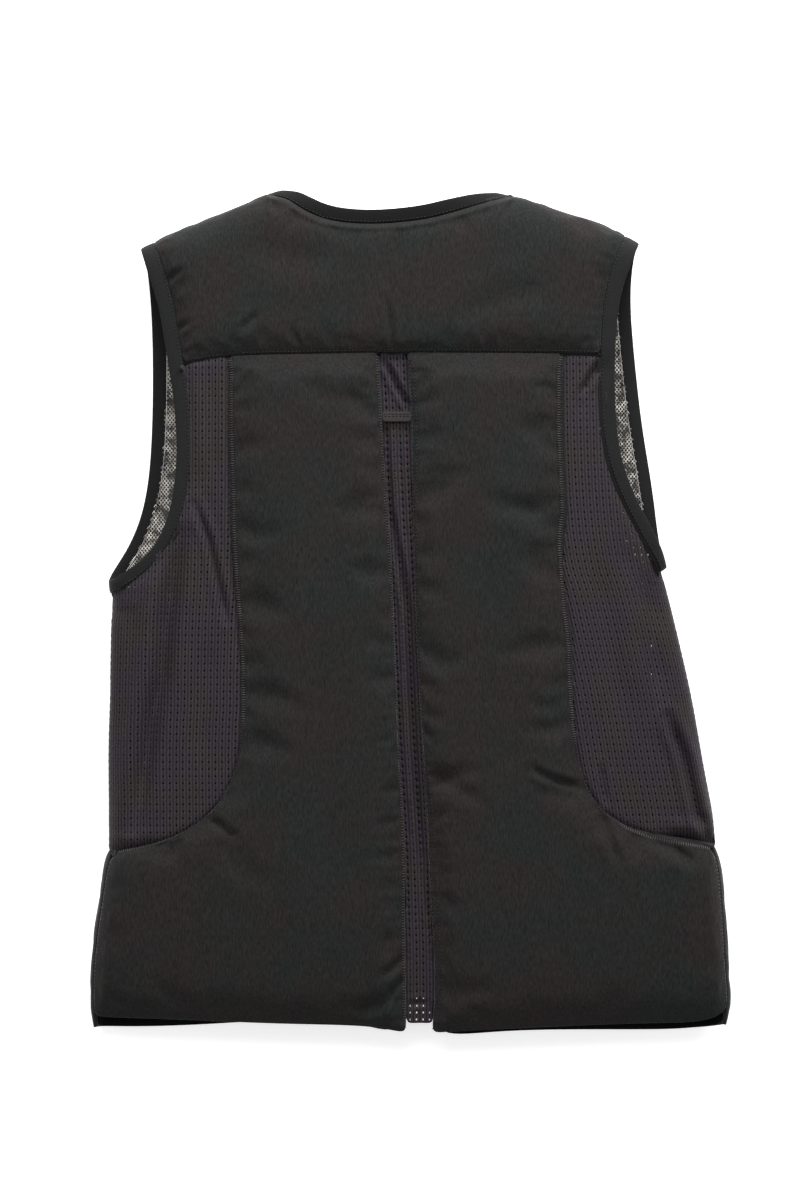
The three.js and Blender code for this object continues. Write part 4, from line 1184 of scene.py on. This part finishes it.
YARN_SHARE = 0.11
YARN_THICKNESS = 0.4 * MM
YARN_GAP = 0.45 * MM
NET_BAND = (95 * MM, 300 * MM)
NET_MIDDLE = 187 * MM
LINING_FROM = 22 * MM
LINING_USUAL = 12 * MM


def cut_net(width, height, keep):
    """A flat net of diamonds."""
    bm = bmesh.new()
    cells = 2 * math.ceil((width / DIAMOND[0] + height / DIAMOND[1]) / 2)
    bmesh.ops.create_grid(bm, x_segments=cells, y_segments=cells, size=cells / 2)
    bmesh.ops.rotate(bm, verts=bm.verts, matrix=Matrix.Rotation(math.pi / 4, 3, "Z"))
    squeeze = Vector((DIAMOND[0] / math.sqrt(2), DIAMOND[1] / math.sqrt(2), 1))
    outside = [f for f in bm.faces if not keep(f.calc_center_median() * squeeze)]
    bmesh.ops.delete(bm, geom=outside, context="FACES")
    gaps = list(bm.faces)
    bmesh.ops.inset_individual(bm, faces=gaps, thickness=YARN_SHARE, use_even_offset=True)
    bmesh.ops.delete(bm, geom=gaps, context="FACES")
    bmesh.ops.scale(bm, verts=bm.verts, vec=squeeze)
    return bm


for word, side in SIDES.items():
    search = tree(bands[f"front_lining_{word}"])
    low, high = (Vector(corner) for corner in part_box(f"front_lining_{word}"))
    bind_low, bind_high = (Vector(corner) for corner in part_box(f"armhole_binding_{word}"))
    rough = (side * NET_MIDDLE, (bind_low.y + bind_high.y) / 2)
    middle = Vector((*(round(r / d) * d for r, d in zip(rough, DIAMOND)), 0))

    def above_lining(flat):
        """Where the yarn lies on the lining under a flat place, or nothing past its edge."""
        return search.ray_cast(Vector((*(flat + middle).xy, LINING_FROM)), Vector((0, 0, -1)))[0]

    def near_armhole(flat):
        """Whether a diamond lies on the lining beside the armhole."""
        inside = abs(flat.x) < NET_BAND[0] / 2 and abs(flat.y) < NET_BAND[1] / 2
        return inside and above_lining(flat) is not None

    bm = cut_net(*NET_BAND, near_armhole)
    for v in bm.verts:
        hit = above_lining(v.co)
        v.co = (hit or v.co + middle + Vector((0, 0, LINING_USUAL))) + Vector((0, 0, YARN_GAP))
    yarn_piece = thicken(made(f"net_yarn_{word}", bm, yarn, "net"), YARN_THICKNESS)
    print(yarn_piece.name, "has", len(yarn_piece.data.polygons) // 4, "diamonds")

# %% [markdown]
# ## Zip
# The zip's wall is its tape, rounded at the edges.

# %% Zip
zip_coil = smooth_wall("front_zip", "zip_coil", nylon, "zip", crease=0.6, levels=2)
print(zip_coil.name, "has", len(zip_coil.data.polygons), "faces")

# %% [markdown]
# ## Stitches
# The yoke seam has a row of topstitching. The knit is joined by flatlock, whose threads cross the seam in
# close ticks. The strip has ticks on one side and two rows of small stitches on the other. A stitch is a
# small rounded bar of thread, laid on the finished cloth along the seam or across it. As there are
# hundreds, each has only a few faces.

# %% Kinds of stitch
THREAD = 0.7 * MM
TOPSTITCH = {"pitch": 3.0 * MM, "length": 2.1 * MM, "across": False, "thread": black_thread}
FLATLOCK = {"pitch": 1.9 * MM, "length": 4.2 * MM, "across": True, "thread": grey_thread}
PRICKS = {"pitch": 1.9 * MM, "length": 1.1 * MM, "across": True, "thread": black_thread}
OVERLOCK = {"pitch": 2.2 * MM, "length": 2.4 * MM, "across": True, "thread": grey_thread}
PROBE_HEIGHT = 12 * MM


def sew(name, course, carrier, inset, slot, pitch, length, across, thread):
    """Lays stitches beside a seam, on the cloth that carries them."""
    search = tree(carrier)
    bm = bmesh.new()
    for place, along, out in stations(course, pitch, inset):
        hit = search.ray_cast(place + out * PROBE_HEIGHT, -out, 2 * PROBE_HEIGHT)
        if hit[0] is None:
            continue
        out = hit[1] if hit[1].dot(out) > 0 else out
        side_way = out.cross(along).normalized()
        along = side_way.cross(out)
        axes = (side_way, -along, out) if across else (along, side_way, out)
        turn = Matrix(axes).transposed().to_4x4()
        size = Matrix.Diagonal((length, THREAD, THREAD, 1))
        at = Matrix.Translation(hit[0] + out * THREAD / 4) @ turn
        bmesh.ops.create_uvsphere(bm, u_segments=6, v_segments=4, radius=0.5, matrix=at @ size)
    return made(name, bm, thread, slot)


print("topstitching has a stitch every", TOPSTITCH["pitch"] / MM, "mm")

# %% [markdown]
# ## Seam allowances
# Inside a seam the cloths' raw edges are turned in and bound. That ribbon closes the seam to the light,
# and here it is laid just below the course of each seam.

# %% Seam allowances
RIBBON = 0.6 * MM
ALLOWANCE_DEPTH = 1.6 * MM
NECK_ALLOWANCE = 8 * MM
STRIP_ALLOWANCE = 18 * MM
STRIP_ALLOWANCE_DEPTH = 4 * MM
STRIP_ENDS = 7 * MM
SIDE_CLEAR = 3.0 * MM
ALLOWANCES = [
    ("yoke", "armhole_binding", 5 * MM),
    ("side_knit", "armhole_binding", 5 * MM),
    ("back_pad", "side_knit", 5 * MM),
    ("yoke", "side_knit", 5 * MM),
    ("yoke", "back_pad", 5 * MM),
    ("front_panel", "front_zip", 8 * MM),
]
WHOLE = ("yoke", "front_zip")


def tape(name, course, width, depth, reach=1.0):
    """A seam allowance: a ribbon under a seam, below both of its cloths and no further out than reach."""
    bm = bmesh.new()
    near = [bm.verts.new(p - way * width / 2 - out * depth) for p, way, out in course]
    line = [bm.edges.new(pair) for pair in zip(near, near[1:])]
    grown = bmesh.ops.extrude_edge_only(bm, edges=line)["geom"]
    far = sorted((v for v in grown if isinstance(v, bmesh.types.BMVert)), key=lambda v: v.index)
    ways = {tuple(a.co): way for a, (_, way, _) in zip(near, course)}
    for v in far:
        v.co += ways[tuple(v.co)] * width
    for v in bm.verts:
        v.co.x = max(-reach, min(reach, v.co.x))
    return thicken(made(name, bm, elastic, "binding"), RIBBON)


def lengthened(course, more):
    """A seam's course with both its ends carried on."""
    ends = []
    for here, inner in ((course[0], course[1]), (course[-1], course[-2])):
        ends.append((here[0] + (here[0] - inner[0]).normalized() * more, *here[1:]))
    return [ends[0], *course[1:-1], ends[1]]


for word in SIDES:
    for name, neighbour, width in ALLOWANCES:
        pair = [n if n in WHOLE else f"{n}_{word}" for n in (name, neighbour)]
        course = stretch(*pair, upper=False)
        outermost = max(abs(place.x) for place, _, _ in course)
        reach = outermost - SIDE_CLEAR if name == "side_knit" else outermost + width
        tape(f"allowance_{name}_{neighbour}_{word}", course, width, ALLOWANCE_DEPTH, reach)
neck_course = stretch("yoke", "neck_binding", upper=False)
tape("allowance_neck", neck_course, NECK_ALLOWANCE, ALLOWANCE_DEPTH)
strip_top = lengthened(stretch("yoke", "centre_strip"), STRIP_ENDS)
tape("allowance_yoke_strip", strip_top, STRIP_ALLOWANCE, STRIP_ALLOWANCE_DEPTH)

# %% [markdown]
# Each row of stitches has its own distance from the edge of the cloth that it goes through.

# %% Rows of stitches
FLATLOCK_IN = 3.0 * MM
SEAM_IN = 0.5 * MM
PRICKS_IN = 5.4 * MM
OVERLOCK_IN = 1.5 * MM
STRIP_ROWS_IN = (1.2 * MM, 5.4 * MM)
YOKE_IN = 1.6 * MM
LOW_IN = 1.4 * MM
ARMHOLE_IN = 1.8 * MM
NECK_IN = 1.6 * MM
TAB_ROWS_IN = (1.6 * MM, 3.4 * MM)
TAB_END = 1 * MM
for word in SIDES:
    pad, fold = pads[f"back_pad_{word}"], f"side_knit_{word}"
    course = stretch(f"back_pad_{word}", fold)
    sew(f"flatlock_side_{word}", course, pad, FLATLOCK_IN, "pad_cloth", **FLATLOCK)
    sew(f"seam_side_{word}", course, pad, SEAM_IN, "pad_cloth", **TOPSTITCH)
    sew(f"pricks_side_{word}", course, pad, PRICKS_IN, "pad_cloth", **PRICKS)
    course = stretch(f"back_pad_{word}", "centre_strip")
    if word == "left":
        sew("overlock_strip_left", course, pad, OVERLOCK_IN, "pad_cloth", **OVERLOCK)
    else:
        for row, inset in zip(("near", "far"), STRIP_ROWS_IN):
            sew(f"stitch_strip_{row}", course, pad, inset, "pad_cloth", **TOPSTITCH)
    course = stretch("yoke", f"back_pad_{word}")
    sew(f"topstitch_yoke_{word}", course, pads["yoke"], YOKE_IN, "pad_cloth", **TOPSTITCH)
    course = stretch("yoke", fold)
    sew(f"topstitch_corner_{word}", course, pads["yoke"], YOKE_IN, "pad_cloth", **TOPSTITCH)
    course = stretch(f"back_pad_{word}", f"front_panel_{word}", upper=False)
    sew(f"topstitch_low_{word}", course, pad, LOW_IN, "pad_cloth", **TOPSTITCH)
    band = bands[f"armhole_binding_{word}"]
    course = stretch(f"armhole_binding_{word}", fold)
    sew(f"stitch_armhole_{word}", course, band, ARMHOLE_IN, "binding", **TOPSTITCH)
    course = stretch(f"armhole_binding_{word}", "yoke")
    sew(f"stitch_shoulder_{word}", course, band, ARMHOLE_IN, "binding", **TOPSTITCH)
tab_low, tab_high = (Vector(corner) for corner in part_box("hang_tab"))
for row, drop in enumerate(TAB_ROWS_IN):
    across = (tab_low.x + TAB_END, tab_high.x - TAB_END)
    ends = [Vector((x, tab_high.y - drop, tab_high.z)) for x in across]
    course = [(end, Vector((0, -1, 0)), Vector((0, 0, 1))) for end in ends]
    sew(f"stitch_tab_{row + 1}", course, bands["hang_tab"], 0, "binding", **TOPSTITCH)
course = stretch("yoke", "centre_strip")
sew("topstitch_yoke_middle", course, pads["yoke"], YOKE_IN, "pad_cloth", **TOPSTITCH)
course = stretch("neck_binding", "yoke", upper=False)
sew("stitch_neck", course, bands["neck_binding"], NECK_IN, "binding", **TOPSTITCH)

# %% [markdown]
# ## Cut of each sheet
# Each sheet's flat cut is worked out and printed: as long as its wall in the frame, and as wide
# as half its finished surface needs. Half, because a thin closed piece has two faces.

# %% Sheets of cloth
CUT_USED = 0.98


def half_surface(piece):
    """The area of one face of a thin closed piece, in square metres."""
    piece = piece.evaluated_get(bpy.context.evaluated_depsgraph_get())
    return sum(p.area for p in piece.data.polygons) / 2


def declare_sheet(piece, node_name):
    """Works out and prints a sheet's cut, as long as its node's box and as wide as its area needs."""
    low, high = (Vector(corner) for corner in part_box(node_name))
    area = half_surface(piece)
    sides = sorted((high.x - low.x, high.y - low.y))
    width = max(sides[0], area / sides[1] / CUT_USED)
    size = (round(width / MM), round(sides[1] / MM))
    print(piece.name, "was cut", size, "mm and covers", round(area, 4), "square metres")


for word in SIDES:
    declare_sheet(knits[word], f"side_knit_{word}")
    yarn_piece = bpy.data.objects[f"net_yarn_{word}"]
    declare_sheet(bands[f"front_lining_{word}"], f"front_lining_{word}")
    declare_sheet(bands[f"hem_facing_{word}"], f"hem_facing_{word}")
declare_sheet(strip, "centre_strip")
